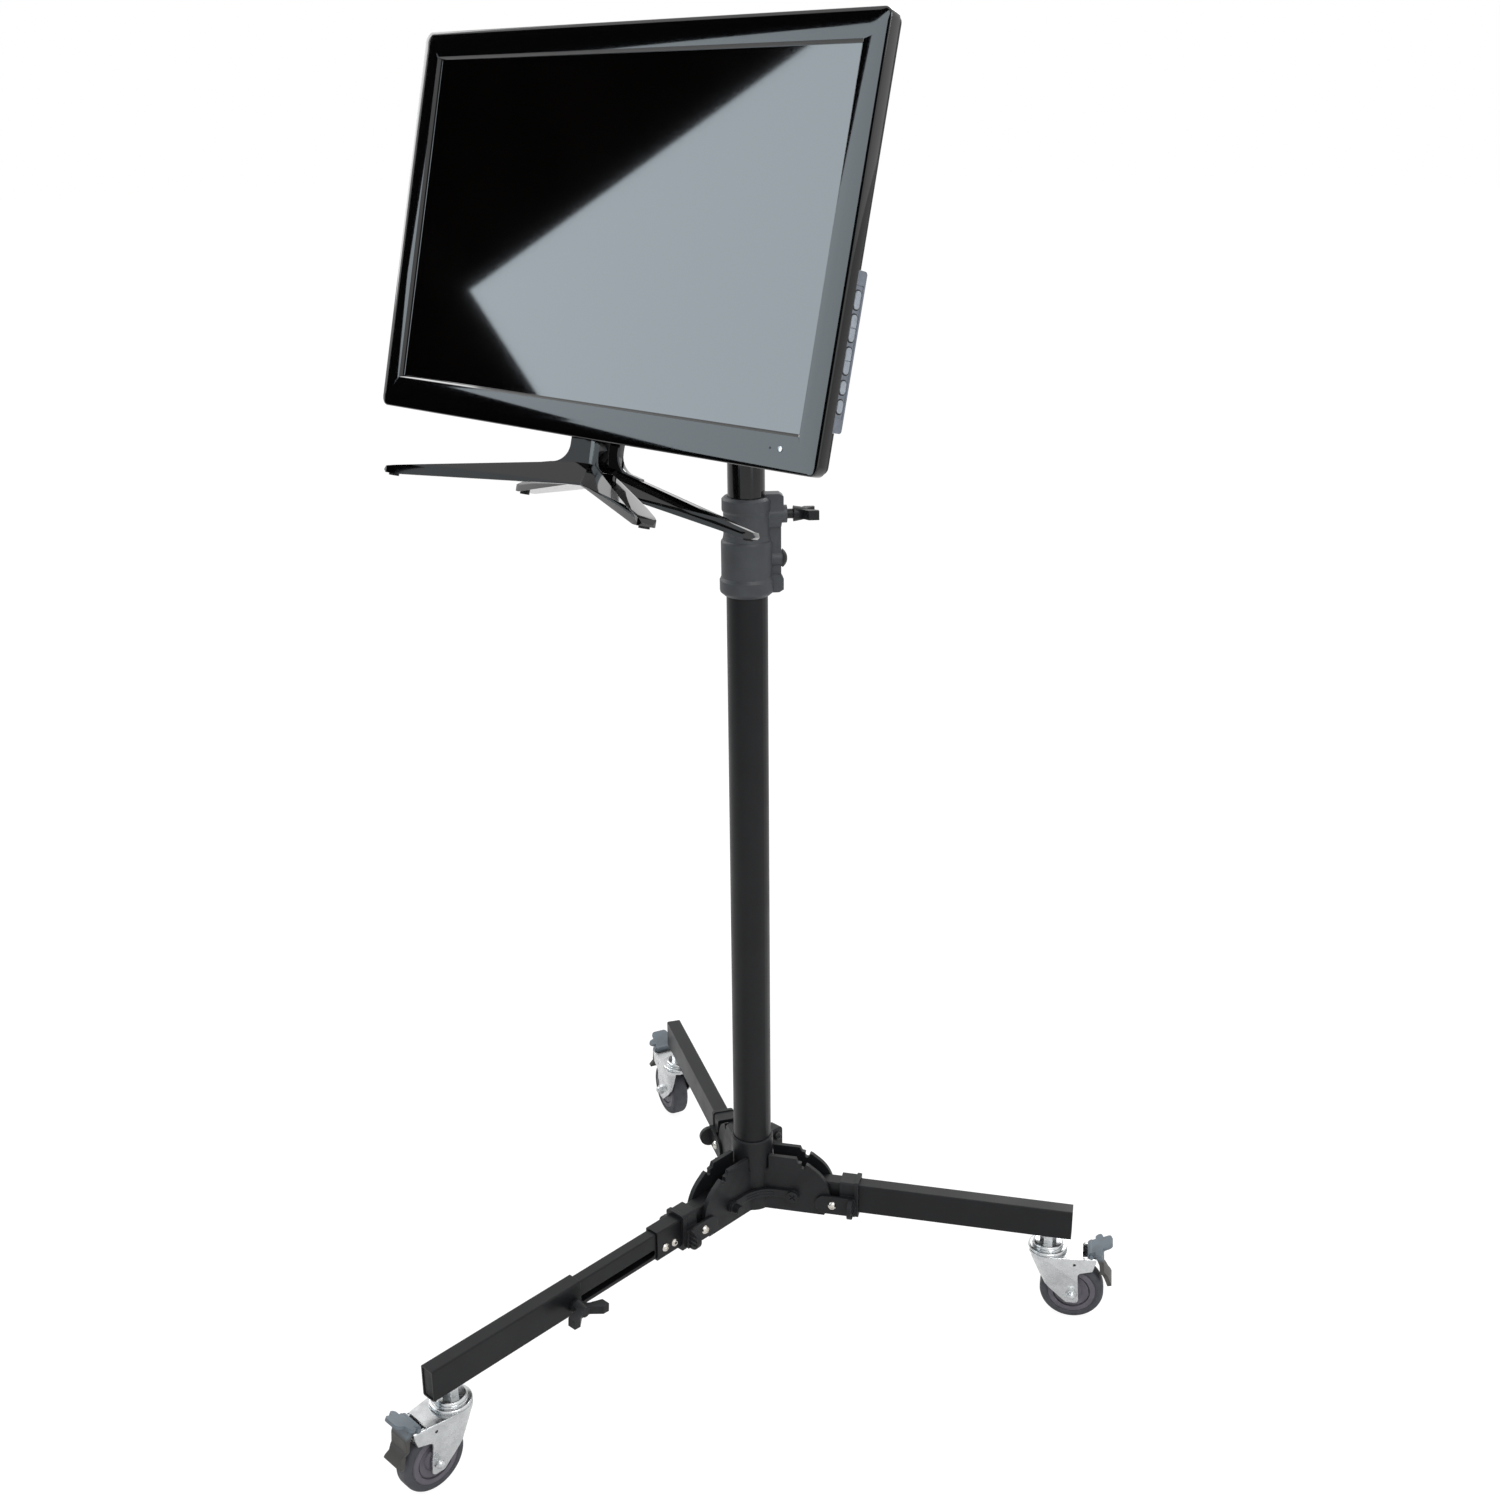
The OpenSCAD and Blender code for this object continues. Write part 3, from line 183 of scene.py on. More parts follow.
def relief(tree, shader, noise, depth_mm, strength=1.0, edge_mm=0.0):
    """Surface relief of a real depth, over edges rounded by a small radius."""
    bump = add(tree, "ShaderNodeBump", {"Height": noise.outputs["Fac"]}, Strength=strength)
    bump.inputs["Distance"].default_value = depth_mm * MM
    if edge_mm:
        edge = add(tree, "ShaderNodeBevel", samples=4, Radius=edge_mm * MM)
        tree.links.new(edge.outputs["Normal"], bump.inputs["Normal"])
    tree.links.new(bump.outputs["Normal"], shader.inputs["Normal"])


def worn_and_highlit_edges(tree, shader, ramp, colour, amount, edge_mm=1.2):
    """Edges lightened partly as wear from handling and partly as a painted highlight, found by comparing
    rounded and flat normals.
    """
    edge = add(tree, "ShaderNodeBevel", samples=4, Radius=edge_mm * MM)
    flat = add(tree, "ShaderNodeNewGeometry")
    turn = add(tree, "ShaderNodeVectorMath", operation="DOT_PRODUCT")
    tree.links.new(edge.outputs["Normal"], turn.inputs[0])
    tree.links.new(flat.outputs["True Normal"], turn.inputs[1])
    mask = add(
        tree,
        "ShaderNodeMapRange",
        {"Value": turn.outputs["Value"]},
        **{"From Min": 0.98, "From Max": 0.75, "To Min": 0.0, "To Max": amount},
    )
    mix = add(tree, "ShaderNodeMix", data_type="RGBA")
    tree.links.new(mask.outputs["Result"], mix.inputs["Factor"])
    tree.links.new(ramp.outputs["Color"], mix.inputs["A"])
    mix.inputs["B"].default_value = colour
    tree.links.new(mix.outputs["Result"], shader.inputs["Base Color"])


# Finishes


def powder_coat(colour):
    """Satin black powder coat on steel tube."""
    mat, tree, shader = start_material("powder_coated_steel_satin", colour, 0.4, Specular_IOR_Level=0.24)
    # Baked powder flows into a soft orange peel of about 1.6 mm, which breaks up the long highlights
    relief(tree, shader, grain(tree, 1.6), 0.02, 0.6, 0.9)
    vary_roughness(tree, shader, grain(tree, 60), 0.34, 0.44)
    ramp = vary_colour(tree, shader, grain(tree, 35, 4), colour, 0.85, 1.2)
    # Edges painted three times lighter: partly wear, partly a painted highlight
    worn_and_highlit_edges(tree, shader, ramp, shade(colour, 3.0), 0.6)
    return mat


def moulded_nylon(colour):
    """Glass-filled nylon, moulded with a fine spark texture."""
    mat, tree, shader = start_material("glass_filled_nylon", colour, 0.48, Specular_IOR_Level=0.28)
    # The spark-eroded mould leaves a fine pebble, drawn at 0.8 mm so that it shows
    relief(tree, shader, grain(tree, 0.8), 0.03, 0.5, 0.8)
    vary_roughness(tree, shader, grain(tree, 12, 3), 0.42, 0.54)
    ramp = vary_colour(tree, shader, grain(tree, 20, 3), colour, 0.85, 1.25)
    # Edges painted lighter: partly wear, partly a painted highlight
    worn_and_highlit_edges(tree, shader, ramp, shade(colour, 3.2), 0.7)
    return mat


def painted_casting(colour):
    """Die-cast aluminium under textured charcoal paint."""
    mat, tree, shader = start_material("painted_diecast_aluminium", colour, 0.52)
    # Textured paint pebbles at about 1 mm and scatters the light
    relief(tree, shader, grain(tree, 1.0, 3), 0.05, 0.8, 1.0)
    ramp = vary_colour(tree, shader, grain(tree, 25, 3), colour, 0.86, 1.15)
    # Edges painted lighter: partly wear, partly a painted highlight
    worn_and_highlit_edges(tree, shader, ramp, shade(colour, 1.9), 0.5)
    return mat


def gloss_black(colour, name="piano_black_abs", roughness=0.04, edge_mm=0.4):
    """Glossy black, moulded in a polished tool or lacquered."""
    mat, tree, shader = start_material(name, colour, roughness, Coat_Weight=0.5, Coat_Roughness=0.03)
    # The surface waves by a few hundredths of a millimetre over centimetres, which bends long reflections
    relief(tree, shader, grain(tree, 45, 1), 0.03, 0.2, edge_mm)
    vary_roughness(tree, shader, grain(tree, 3, 2), roughness, roughness + 0.03)
    return mat


def satin_back(colour):
    """Polystyrene of the monitor's back, moulded with a leather-like grain."""
    mat, tree, shader = start_material("grained_polystyrene", colour, 0.45)
    relief(tree, shader, grain(tree, 1.4, 4), 0.06, 0.7, 1.0)
    vary_roughness(tree, shader, grain(tree, 30), 0.4, 0.5)
    vary_colour(tree, shader, grain(tree, 40, 3), colour, 0.85, 1.2)
    return mat


def bright_zinc(colour):
    """Stamped steel under bright zinc."""
    mat, tree, shader = start_material("bright_zinc_plated_steel", colour, 0.28, 1.0)
    # Rolling marks in the sheet show through the plating as faint upright streaks
    relief(tree, shader, grain(tree, 2.5, 3, (1, 1, 0.2)), 0.02, 0.4, 0.5)
    vary_roughness(tree, shader, grain(tree, 6, 4), 0.2, 0.36)
    vary_colour(tree, shader, grain(tree, 14, 3), colour, 0.86, 1.04)
    return mat


def nickel_plate(colour):
    """Nickel-plated button head, tumbled bright."""
    mat, tree, shader = start_material("nickel_plated_steel", colour, 0.16, 1.0)
    vary_roughness(tree, shader, grain(tree, 2, 2), 0.12, 0.22)
    vary_colour(tree, shader, grain(tree, 3, 2), colour, 0.9, 1.03)
    return mat


def rubber_tread(colour):
    """Grey thermoplastic rubber, dusty from the floor."""
    mat, tree, shader = start_material("thermoplastic_rubber", colour, 0.6)
    relief(tree, shader, grain(tree, 1.2, 3), 0.03, 0.6)
    vary_roughness(tree, shader, grain(tree, 8, 3), 0.52, 0.7)
    vary_colour(tree, shader, grain(tree, 12, 3), colour, 0.85, 1.2)
    return mat


def polypropylene(colour):
    """Moulded wheel core with a faint flow pattern."""
    mat, tree, shader = start_material("polypropylene_core", colour, 0.45)
    relief(tree, shader, grain(tree, 0.9), 0.02, 0.5, 0.4)
    vary_roughness(tree, shader, grain(tree, 7, 3), 0.38, 0.5)
    vary_colour(tree, shader, grain(tree, 10, 3), colour, 0.88, 1.14)
    return mat


def pedal_nylon(colour, top):
    """Nylon brake pedal, lighter on the upper tongue and darker on the lower tongue."""
    mat, tree, shader = start_material("nylon_pedal", colour, 0.48)
    relief(tree, shader, grain(tree, 0.9), 0.03, 0.5, 0.6)
    vary_roughness(tree, shader, grain(tree, 9, 3), 0.42, 0.56)
    ramp = vary_colour(tree, shader, grain(tree, 9, 3), colour, 0.9, 1.12)
    # The lower tongue is darker: its colour drops off below the pivot
    place = add(tree, "ShaderNodeTexCoord")
    height = add(tree, "ShaderNodeSeparateXYZ", {"Vector": place.outputs["Object"]})
    fall = add(
        tree,
        "ShaderNodeMapRange",
        {"Value": height.outputs["Z"]},
        **{"From Min": top - 0.004, "From Max": top + 0.001, "To Min": 0.0, "To Max": 1.0},
    )
    mix = add(tree, "ShaderNodeMix", data_type="RGBA")
    tree.links.new(fall.outputs["Result"], mix.inputs["Factor"])
    mix.inputs["A"].default_value = linear("3d3c39")
    tree.links.new(ramp.outputs["Color"], mix.inputs["B"])
    tree.links.new(mix.outputs["Result"], shader.inputs["Base Color"])
    return mat


def satin_abs(name, colour, roughness=0.34):
    """Satin ABS of the key strip and keys, also used for the painted shade round the keys."""
    mat, tree, shader = start_material(name, colour, roughness)
    relief(tree, shader, grain(tree, 1.0), 0.015, 0.4, 0.4)
    vary_roughness(tree, shader, grain(tree, 5, 2), roughness - 0.05, roughness + 0.07)
    vary_colour(tree, shader, grain(tree, 8, 2), colour, 0.9, 1.1)
    return mat


# The film over the filter glass sends back about a tenth of the light
SCREEN_INDEX = 2.1


def screen_film():
    """Glossy front film of the switched-off screen, over a near-black panel."""
    mat, tree, shader = start_material("glossy_screen_film", linear("030303"), 0.03, IOR=SCREEN_INDEX)
    vary_roughness(tree, shader, grain(tree, 1.0, 2), 0.02, 0.045)
    vary_colour(tree, shader, grain(tree, 90, 2), linear("040303"), 0.7, 1.5)
    return mat


def pad_rubber():
    """Soft black rubber pads."""
    mat, tree, shader = start_material("moulded_rubber", linear("161616"), 0.75)
    relief(tree, shader, grain(tree, 0.9, 2), 0.03, 0.5)
    vary_colour(tree, shader, grain(tree, 5, 2), linear("161616"), 0.8, 1.3)
    return mat


def dress(mat, *names):
    """Gives CAD nodes a material."""
    for name in names:
        mesh = NODES[name].data
        mesh.materials.clear()
        mesh.materials.append(mat)


# Pieces


def take_copy(node, name):
    """A merged copy of a CAD node's mesh, alone selected, as the start of a finer piece."""
    bpy.ops.object.select_all(action="DESELECT")
    piece = bpy.data.objects.new(name, NODES[node].data.copy())
    bpy.context.scene.collection.objects.link(piece)
    piece.select_set(True)
    bpy.context.view_layer.objects.active = piece
    bpy.ops.object.mode_set(mode="EDIT")
    bpy.ops.mesh.select_all(action="SELECT")
    bpy.ops.mesh.remove_doubles(threshold=0.01 * MM)
    bpy.ops.mesh.dissolve_limited(angle_limit=math.radians(0.6))
    bpy.ops.object.mode_set(mode="OBJECT")
    return piece


def round_edges(piece, radius, above_degrees, segments=4):
    """Rounds every edge sharper than an angle, as a mould does."""
    bevel = piece.modifiers.new("moulded_edges", "BEVEL")
    bevel.width = radius
    bevel.segments = segments
    bevel.limit_method = "ANGLE"
    bevel.angle_limit = math.radians(above_degrees)
    bevel.use_clamp_overlap = True
    bpy.ops.object.modifier_apply(modifier=bevel.name)
    bpy.ops.object.shade_smooth_by_angle(angle=SMOOTH_BELOW)


def settle(piece, mat, node):
    """Finishes a piece that stands for a CAD node."""
    piece.data.materials.clear()
    piece.data.materials.append(mat)
    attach(piece, BODY_OF[node])
    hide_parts(node)


class STAND_OT_base(bpy.types.Operator):
    """Finishes the column, the legs and the hub with its latches"""

    bl_idname = "stand.base"
    bl_label = "Column, Legs and Hub"

    def execute(self, context):
        colours = context.scene.stand_colours
        coat, nylon = powder_coat(colours.coat), moulded_nylon(colours.nylon)
        nickel, zinc = nickel_plate(colours.nickel), bright_zinc(colours.zinc)
        dress(coat, "lower_column", "leg_tube_right", "leg_tube_rear", "leg_stub_front", "leg_inner_front")
        dress(coat, "leg_slider_front")
        dress(nylon, "hub_casting", "corner_straps", "pivot_pins", "slider_knob")
        dress(nickel, "stub_fasteners")
        for side in SIDES:
            dress(nylon, "latch_collar_" + side, "leg_cap_" + side)
            dress(nickel, "latch_pin_" + side)
            dress(zinc, "caster_stem_" + side)
        return {"FINISHED"}


class STAND_OT_casters(bpy.types.Operator):
    """Finishes the forks, axles, wheels and brake pedals"""

    bl_idname = "stand.casters"
    bl_label = "Casters"

    def execute(self, context):
        colours = context.scene.stand_colours
        zinc = bpy.data.materials["bright_zinc_plated_steel"]
        tread, core = rubber_tread(colours.tread), polypropylene(colours.core)
        low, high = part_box("brake_pedal_right")
        pedal = pedal_nylon(colours.pedal, high.z - 0.02)
        for side in SIDES:
            dress(zinc, "caster_fork_" + side, "caster_axle_" + side)
            dress(tread, "caster_tyre_" + side)
            dress(core, "caster_core_" + side)
            dress(pedal, "brake_pedal_" + side)
        return {"FINISHED"}


class STAND_OT_riser(bpy.types.Operator):
    """Finishes the clamp, the riser and the head"""

    bl_idname = "stand.riser"
    bl_label = "Clamp, Riser and Head"

    def execute(self, context):
        colours = context.scene.stand_colours
        casting = painted_casting(colours.casting)
        nylon = bpy.data.materials["glass_filled_nylon"]
        gloss = gloss_black(shade(colours.gloss, 1.5), "gloss_painted_steel", 0.1, 0.0)
        dress(casting, "riser_clamp", "riser_head", "pan_arm", "tilt_plate")
        dress(nylon, "clamp_set_screw", "clamp_handle", "riser_foot_bush", "head_knob", "tilt_knob")
        dress(gloss, "riser_tube")
        dress(bpy.data.materials["bright_zinc_plated_steel"], "plate_screws")
        return {"FINISHED"}


TILT = math.radians(14)
HINGE = Vector(next(j["pos_m"] for j in frame["record"]["behaviour"]["joints"] if j["name"] == "tilt_turn"))
REACH = 85 * MM
# Width, height and depth of the front frame, and the opening in it
SHELL = (611 * MM, 378 * MM, 12 * MM)
SHELL_CORNER = 9 * MM
OPENING = (556 * MM, 317 * MM)
SCREEN_RISE = 3 * MM
# Depth of the opening's lip in front of the screen, and of the chamfer on it
LIP = 3.5 * MM
CHAMFER = 2.5 * MM
# The screen's rim goes this far behind the lip on every side
RIM = 7 * MM
# Shares of the shell's edge radius, inward and forward, of the three flats that round it
EDGE_FLATS = ((0.13, 0.5), (0.37, 0.37), (0.5, 0.13))
# Shares of the crown's depth over four bands of equal width
CROWN_BANDS = (0.4, 0.3, 0.2, 0.1)
# Places on the front frame, from the middle of the screen, in millimetres to the right and up
RING_PLACE = (261.6, -170.0)
RECEIVER_PLACE = (249.7, -170.2)
# How far the keys stand out of the strip's face, and the skirt of the painted shade round each key, in front
# of the face and behind it
KEY_STAND = 0.9 * MM
GAP_FRONT = 0.12 * MM
GAP_BACK = 0.2 * MM


def monitor_frame():
    """The monitor's own frame: its origin in the middle of the screen's front, its Y axis into the screen."""
    turn = Matrix.Rotation(-TILT, 4, "X")
    return Matrix.Translation(HINGE) @ turn @ Matrix.Translation((0, -REACH, 0))


def model_block(outline, base, corner, steps, centre):
    """A closed block: a rectangle carried up in steps, each with its rise and the outline it ends in."""
    bpy.ops.object.select_all(action="DESELECT")
    bpy.ops.mesh.primitive_plane_add(size=1, location=(0, centre, base))
    block = bpy.context.object
    block.scale = (*outline, 1)
    bpy.ops.object.transform_apply(location=True, rotation=True, scale=True)
    bpy.ops.object.mode_set(mode="EDIT")
    bpy.ops.mesh.select_mode(type="FACE")
    bpy.ops.mesh.select_all(action="SELECT")
    bpy.ops.mesh.bevel(offset=corner, segments=8, affect="VERTICES")
    width, height = outline
    for rise, (next_width, next_height) in steps:
        bpy.ops.mesh.extrude_region_move(TRANSFORM_OT_translate={"value": (0, 0, rise)})
        bpy.ops.transform.resize(
            value=(next_width / width, next_height / height, 1), center_override=(0, centre, 0)
        )
        width, height = next_width, next_height
    bpy.ops.mesh.select_all(action="SELECT")
    bpy.ops.mesh.normals_make_consistent(inside=False)
    bpy.ops.object.mode_set(mode="OBJECT")
    return block


def shrunk(outline, by):
    """An outline taken in on every side."""
    return [size - 2 * by for size in outline]


def model_surround(sizes):
    """The monitor's front frame: rounded wall, bowed front, chamfered opening and the screen's recess."""
    outline, deep = SHELL[:2], SHELL[2]
    edge, fall, band = sizes.shell_edge, sizes.crown_depth, sizes.crown_width
    rises, insets = [deep - fall - edge], [0]
    for step_in, step_up in EDGE_FLATS:
        insets.append(insets[-1] + edge * step_in)
        rises.append(edge * step_up)
    for step_up in CROWN_BANDS:
        insets.append(insets[-1] + band / len(CROWN_BANDS))
        rises.append(fall * step_up)
    steps = [(rise, shrunk(outline, inset)) for rise, inset in zip(rises, insets)]
    # Cut away: the recess for the screen's rim, the opening and its chamfer, which runs on past the front
    recess = shrunk(OPENING, -RIM)
    past = 1 * MM
    hollow = model_block(
        recess,
        -deep - past,
        1 * MM,
        [
            (deep + past - LIP, recess),
            (0, OPENING),
            (LIP - CHAMFER, OPENING),
            (CHAMFER + past, shrunk(OPENING, -CHAMFER - past)),
        ],
        SCREEN_RISE,
    )
    piece = model_block(outline, -deep, SHELL_CORNER, steps, 0)
    piece.name = "monitor_surround"
    cut = piece.modifiers.new("opening", "BOOLEAN")
    cut.operation = "DIFFERENCE"
    cut.solver = "EXACT"
    cut.object = hollow
    bpy.ops.object.modifier_apply(modifier=cut.name)
    bpy.data.objects.remove(hollow)
    round_edges(piece, 0.5 * MM, 38, 3)
    piece.matrix_world = monitor_frame() @ Matrix.Rotation(math.pi / 2, 4, "X")
    bpy.ops.object.transform_apply(location=True, rotation=True, scale=True)
    return piece


class STAND_OT_shell(bpy.types.Operator):
    """Models the monitor's front frame with moulded edges, and finishes the screen and the back"""

    bl_idname = "stand.shell"
    bl_label = "Monitor Shell and Screen"

    def execute(self, context):
        colours, sizes = context.scene.stand_colours, context.scene.stand_sizes
        gloss = gloss_black(colours.gloss)
        settle(model_surround(sizes), gloss, "front_bezel")
        dress(satin_back(colours.back), "rear_cover")
        dress(screen_film(), "lcd_panel")
        return {"FINISHED"}


class STAND_OT_foot(bpy.types.Operator):
    """Models the glossy table foot with moulded edges, and its rubber pads"""

    bl_idname = "stand.foot"
    bl_label = "Table Foot"

    def execute(self, context):
        foot = take_copy("table_foot", "table_foot_moulded")
        round_edges(foot, context.scene.stand_sizes.foot_edge, 14, 4)
        settle(foot, bpy.data.materials["piano_black_abs"], "table_foot")
        dress(pad_rubber(), "foot_pads")
        return {"FINISHED"}


class STAND_OT_indicator(bpy.types.Operator):
    """Models the ring round the power light and the receiver window on the front frame"""

    bl_idname = "stand.indicator"
    bl_label = "Power Ring and Receiver"

    def execute(self, context):
        sizes = context.scene.stand_sizes
        ring_metal = nickel_plate(linear("b9bcbe"))
        ring_metal.name = "vacuum_metallised_ring"
        window = gloss_black(linear("0a0507"), "tinted_acrylic_window", 0.06, 0.0)
        upright = (math.pi / 2 - TILT, 0, 0)
        for name, (x, z), radius, mat in (
            ("power_ring", RING_PLACE, sizes.ring, ring_metal),
            ("receiver_window", RECEIVER_PLACE, sizes.light, window),
        ):
            bpy.ops.object.select_all(action="DESELECT")
            place = monitor_frame() @ Vector((x * MM, 0.2 * MM, z * MM))
            bpy.ops.mesh.primitive_cylinder_add(vertices=48, radius=radius, depth=1.2 * MM, rotation=upright)
            piece = context.object
            piece.location = place
            piece.name = name
            bpy.ops.object.mode_set(mode="EDIT")
            bpy.ops.mesh.select_all(action="SELECT")
            bpy.ops.mesh.bevel(offset=0.15 * MM, segments=2, affect="EDGES")
            bpy.ops.mesh.select_all(action="DESELECT")
            bpy.ops.object.mode_set(mode="OBJECT")
            cap = max(piece.data.polygons, key=lambda face: face.normal.z * face.area)
            cap.select = True
            bpy.ops.object.mode_set(mode="EDIT")
            bpy.ops.mesh.inset(thickness=radius * 0.3)
            sink = {"value": (0, 0, -0.35 * MM), "orient_type": "NORMAL"}
            bpy.ops.mesh.extrude_region_move(TRANSFORM_OT_translate=sink)
            bpy.ops.object.mode_set(mode="OBJECT")
            bpy.ops.object.transform_apply(location=True, rotation=True, scale=True)
            bpy.ops.object.shade_smooth_by_angle(angle=SMOOTH_BELOW)
            piece.data.materials.append(mat)
            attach(piece, "monitor")
        return {"FINISHED"}


class STAND_OT_keys(bpy.types.Operator):
    """Finishes the key strip and its keys, and models dark rings round the keys as painted shade in their
    gaps
    """

    bl_idname = "stand.keys"
    bl_label = "Side Keys"

    def execute(self, context):
        colours, sizes = context.scene.stand_colours, context.scene.stand_sizes
        dress(satin_abs("satin_abs_strip", colours.pod), "button_pod")
        dress(satin_abs("satin_abs_key", colours.key, 0.26), *["key_" + key for key in KEYS])
        # Dark rings round the keys stand in for the shade in their gaps: painted shade
        dark = satin_abs("painted_shade_in_key_gaps", linear("17181b"), 0.6)
        outward = monitor_frame()
        inward = outward.inverted()
        for key in KEYS:
            gap = take_copy("key_" + key, "key_gap_" + key)
            local = [inward @ v.co for v in gap.data.vertices]
            low = Vector([min(p[i] for p in local) for i in range(3)])
            high = Vector([max(p[i] for p in local) for i in range(3)])
            middle, half = (low + high) / 2, (high - low) / 2
            face = high.x - KEY_STAND
            for vertex, point in zip(gap.data.vertices, local):
                grown = [
                    middle[i] + (point[i] - middle[i]) * (half[i] + sizes.key_gap) / half[i] for i in range(3)
                ]
                depth = face + GAP_FRONT if point.x > middle.x else face - GAP_BACK
                vertex.co = outward @ Vector((depth, grown[1], grown[2]))
            gap.data.materials.clear()
            gap.data.materials.append(dark)
            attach(gap, "monitor")
        return {"FINISHED"}


# Stage

# The camera's place, and its turn in degrees with its pitch and roll in radians
CAMERA_PLACE = Vector((1.25453, -1.32663, 1.35865))
CAMERA_TURN = (43.353, 0.35077, -0.00919)
# Light of the white surroundings on the object, against 1.0 where they are seen or mirrored
SURROUNDINGS = 0.5
# The floor's own glow for the camera, and its share against the lit paper
FLOOR_GLOW = 1.12
FLOOR_SHARE = 0.82
# Softboxes: place, aim, watts and width
LAMPS = (
    ("key_softbox", (2.4, -0.9, 3.2), (0, 0, 0.6), 62, 1.6),
    ("fill_softbox", (-3.0, -0.5, 2.4), (0, 0, 0.7), 40, 1.8),
    ("back_softbox", (-0.6, 2.6, 2.8), (0, 0, 0.9), 42, 1.6),
)
# The dark room that the monitor faces
FLAG = ((-6.5, -3.4, -0.4), (0.4, -3.4, -0.4), (0.4, -3.4, 4.6), (-6.5, -3.4, 4.6))
# Corners of the pale card that the switched-off screen mirrors, as x and z on a plane in front of it
CARD = ((-3.416, 2.046), (-1.42, 3.472), (-1.12, 3.1), (-1.12, 0.9), (-1.6, 0.9))
CARD_PLACE = -2.6
CARD_GLOW = 6.4
# Two narrow cards for the upright highlights on the tubes
STRIPS = (
    ("front_card", ((-0.3, -3.2, 0.4), (0.6, -3.2, 0.4), (0.6, -2.9, 3.9), (-0.3, -2.9, 3.9))),
    ("side_card", ((3.0, -1.1, 0.4), (3.0, -0.2, 0.4), (2.9, -0.2, 3.9), (2.9, -1.1, 3.9))),
)
STRIP_GLOW = 1.6


def pane(name, corners, colour, strength):
    """A studio card or flag that only glossy surfaces see."""
    mesh = bpy.data.meshes.new(name)
    mesh.from_pydata(corners, [], [range(len(corners))])
    card = bpy.data.objects.new(name, mesh)
    bpy.context.scene.collection.objects.link(card)
    mat = bpy.data.materials.new(name)
    mat.use_nodes = True
    tree = mat.node_tree
    tree.nodes.remove(tree.nodes["Principled BSDF"])
    glow = add(tree, "ShaderNodeEmission", Color=colour, Strength=strength)
    tree.links.new(glow.outputs["Emission"], tree.nodes["Material Output"].inputs["Surface"])
    mesh.materials.append(mat)
    for ray in ("camera", "diffuse", "transmission", "volume_scatter", "shadow"):
        setattr(card, "visible_" + ray, False)
    return card


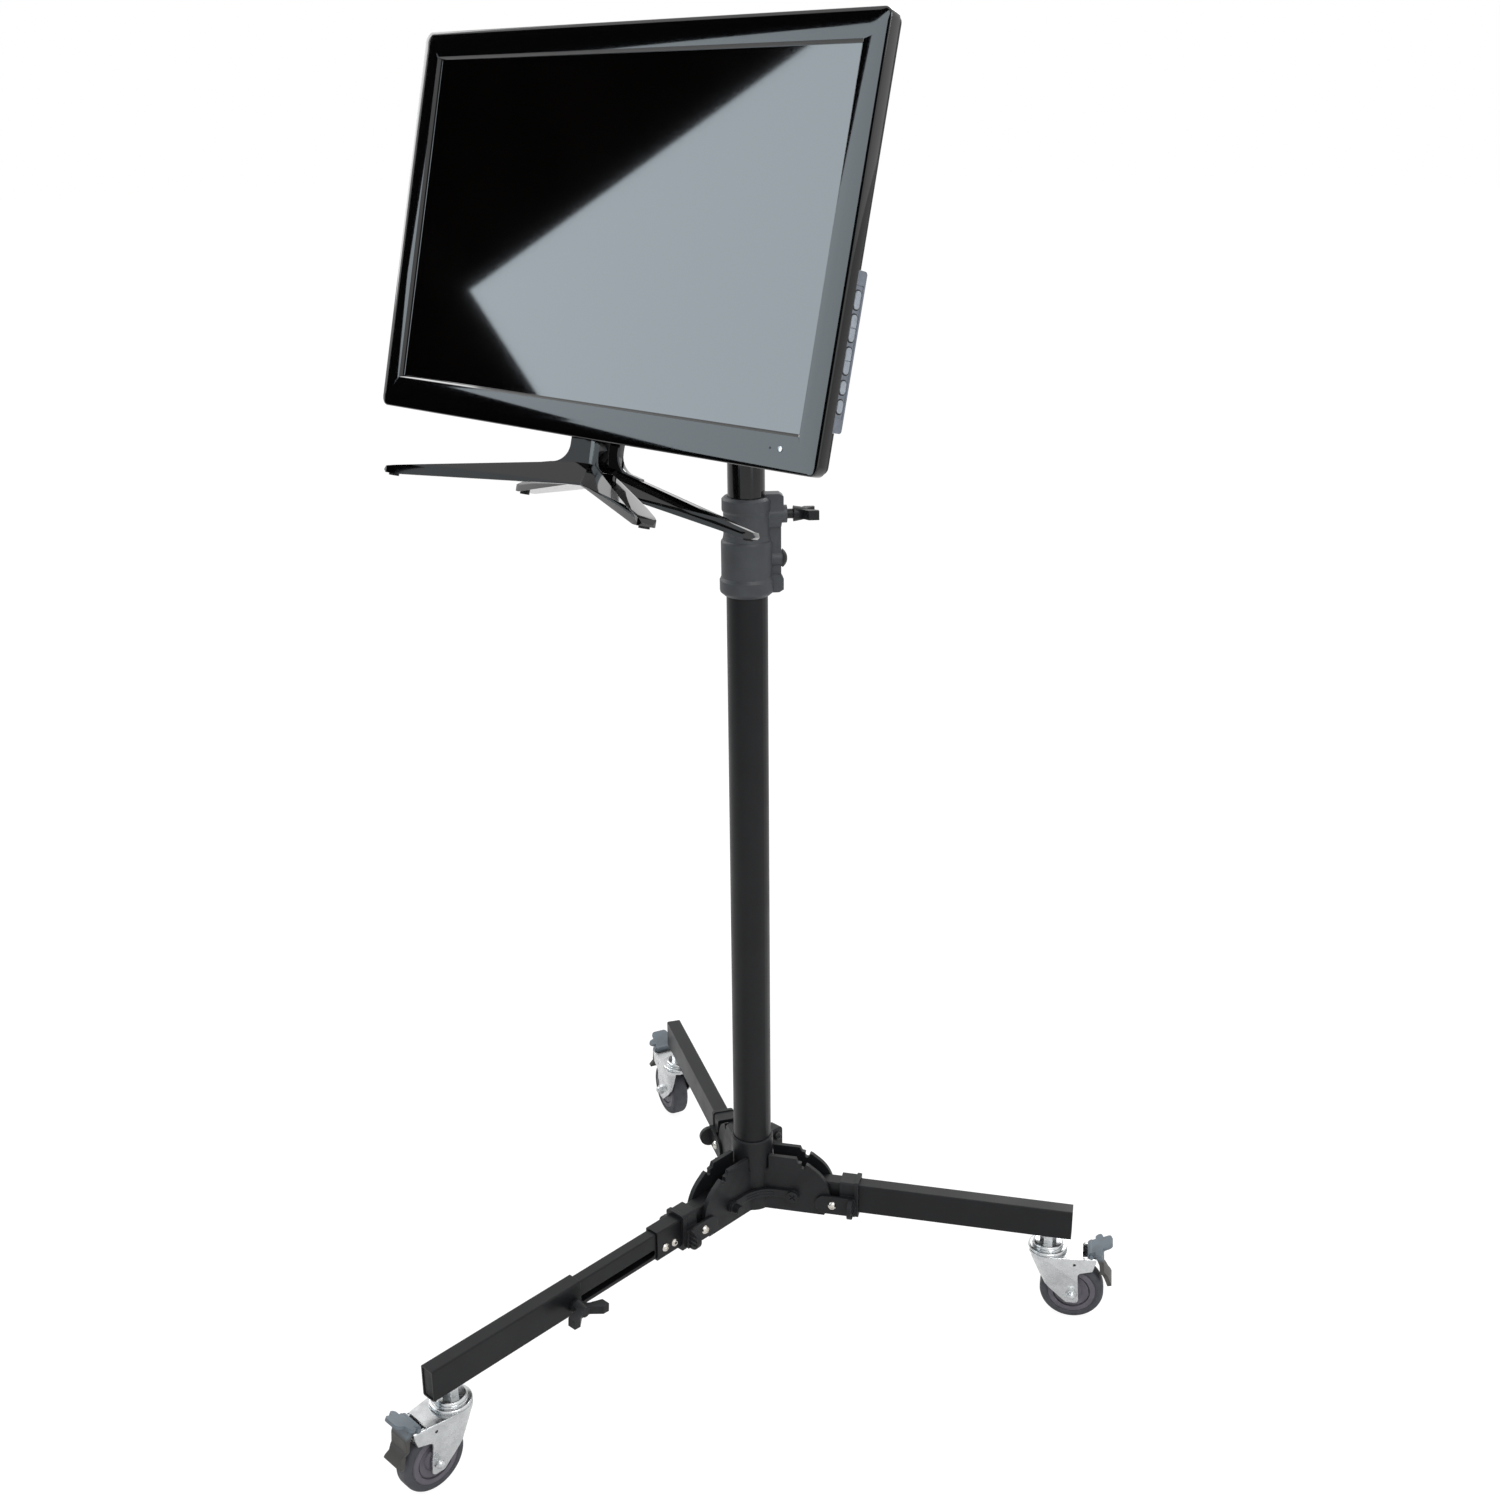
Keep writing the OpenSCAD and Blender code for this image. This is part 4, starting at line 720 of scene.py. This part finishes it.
class STAND_OT_stage(bpy.types.Operator):
    """Adds the floor, the lamps, the studio cards and the camera"""

    bl_idname = "stand.stage"
    bl_label = "Stage"

    def execute(self, context):
        scene = context.scene
        scene.view_settings.view_transform = "Standard"
        world = bpy.data.worlds.new("studio")
        scene.world = world
        world.use_nodes = True
        tree = world.node_tree
        back = tree.nodes["Background"]
        back.inputs["Color"].default_value = (1, 1, 1, 1)
        rays = add(tree, "ShaderNodeLightPath")
        seen = add(tree, "ShaderNodeMath", operation="MAXIMUM")
        tree.links.new(rays.outputs["Is Camera Ray"], seen.inputs[0])
        tree.links.new(rays.outputs["Is Glossy Ray"], seen.inputs[1])
        through = add(tree, "ShaderNodeMath", operation="MAXIMUM")
        tree.links.new(seen.outputs["Value"], through.inputs[0])
        tree.links.new(rays.outputs["Is Transmission Ray"], through.inputs[1])
        level = add(
            tree,
            "ShaderNodeMapRange",
            {"Value": through.outputs["Value"]},
            **{"To Min": SURROUNDINGS, "To Max": 1.0},
        )
        tree.links.new(level.outputs["Result"], back.inputs["Strength"])
        # White paper floor, lifted for the camera so that it runs into the white background without a line
        bpy.ops.object.select_all(action="DESELECT")
        bpy.ops.mesh.primitive_plane_add(size=60)
        floor = context.object
        floor.name = "floor"
        mat, tree, shader = start_material("white_paper_floor", linear("f4f4f4"), 0.8)
        rays = add(tree, "ShaderNodeLightPath")
        glow = add(tree, "ShaderNodeEmission", Color=(1, 1, 1, 1), Strength=FLOOR_GLOW)
        share = add(tree, "ShaderNodeMath", operation="MULTIPLY")
        tree.links.new(rays.outputs["Is Camera Ray"], share.inputs[0])
        share.inputs[1].default_value = FLOOR_SHARE
        mix = add(tree, "ShaderNodeMixShader", {"Fac": share.outputs["Value"]})
        tree.links.new(shader.outputs["BSDF"], mix.inputs[1])
        tree.links.new(glow.outputs["Emission"], mix.inputs[2])
        tree.links.new(mix.outputs["Shader"], tree.nodes["Material Output"].inputs["Surface"])
        floor.data.materials.append(mat)
        for name, place, aim, power, size in LAMPS:
            lamp = bpy.data.lights.new(name, "AREA")
            lamp.energy = power
            lamp.size = size
            holder = bpy.data.objects.new(name, lamp)
            holder.location = place
            holder.rotation_euler = (Vector(aim) - Vector(place)).to_track_quat("-Z", "Y").to_euler()
            scene.collection.objects.link(holder)
        # What the gloss mirrors: a dark room with one pale card in it, and the two narrow cards
        pane("black_flag", FLAG, linear("0a0908"), 1.0)
        pane("grey_card", [(x, CARD_PLACE, z) for x, z in CARD], linear("a3adb3"), CARD_GLOW)
        for name, corners in STRIPS:
            pane(name, corners, linear("c3cacf"), STRIP_GLOW)
        view = bpy.data.cameras.new("camera")
        view.sensor_fit = "HORIZONTAL"
        view.sensor_width = 36
        view.lens = scene.stand_sizes.lens
        holder = bpy.data.objects.new("camera", view)
        turn, pitch, roll = CAMERA_TURN
        basis = Matrix.Rotation(math.radians(turn), 4, "Z") @ Matrix.Rotation(math.pi / 2 - pitch, 4, "X")
        holder.matrix_world = Matrix.Translation(CAMERA_PLACE) @ basis @ Matrix.Rotation(roll, 4, "Z")
        scene.collection.objects.link(holder)
        scene.camera = holder
        return {"FINISHED"}


class STAND_PT_panel(bpy.types.Panel):
    """Lists the operators, sizes and colours"""

    bl_label = "Rolling Monitor Stand"
    bl_idname = "STAND_PT_panel"
    bl_space_type = "VIEW_3D"
    bl_region_type = "UI"
    bl_category = "Stand"

    def draw(self, context):
        for operator in OPERATORS:
            self.layout.operator(operator.bl_idname)
        for group in (context.scene.stand_sizes, context.scene.stand_colours):
            for name in group.bl_rna.properties.keys():
                if name not in ("rna_type", "name"):
                    self.layout.prop(group, name)


OPERATORS = (
    STAND_OT_stage,
    STAND_OT_base,
    STAND_OT_casters,
    STAND_OT_riser,
    STAND_OT_shell,
    STAND_OT_foot,
    STAND_OT_indicator,
    STAND_OT_keys,
)
CLASSES = (STAND_PG_colours, STAND_PG_sizes, *OPERATORS, STAND_PT_panel)


def register():
    """Registers the classes and hangs the settings on the scene."""
    for cls in CLASSES:
        bpy.utils.register_class(cls)
    bpy.types.Scene.stand_colours = bpy.props.PointerProperty(type=STAND_PG_colours)
    bpy.types.Scene.stand_sizes = bpy.props.PointerProperty(type=STAND_PG_sizes)


def unregister():
    """Takes the settings and the classes away again."""
    del bpy.types.Scene.stand_sizes
    del bpy.types.Scene.stand_colours
    for cls in reversed(CLASSES):
        bpy.utils.unregister_class(cls)


def main():
    """Builds the stage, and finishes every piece."""
    register()
    bpy.ops.stand.stage()
    bpy.ops.stand.base()
    bpy.ops.stand.casters()
    bpy.ops.stand.riser()
    bpy.ops.stand.shell()
    bpy.ops.stand.foot()
    bpy.ops.stand.indicator()
    bpy.ops.stand.keys()


if __name__ == "__main__":
    main()
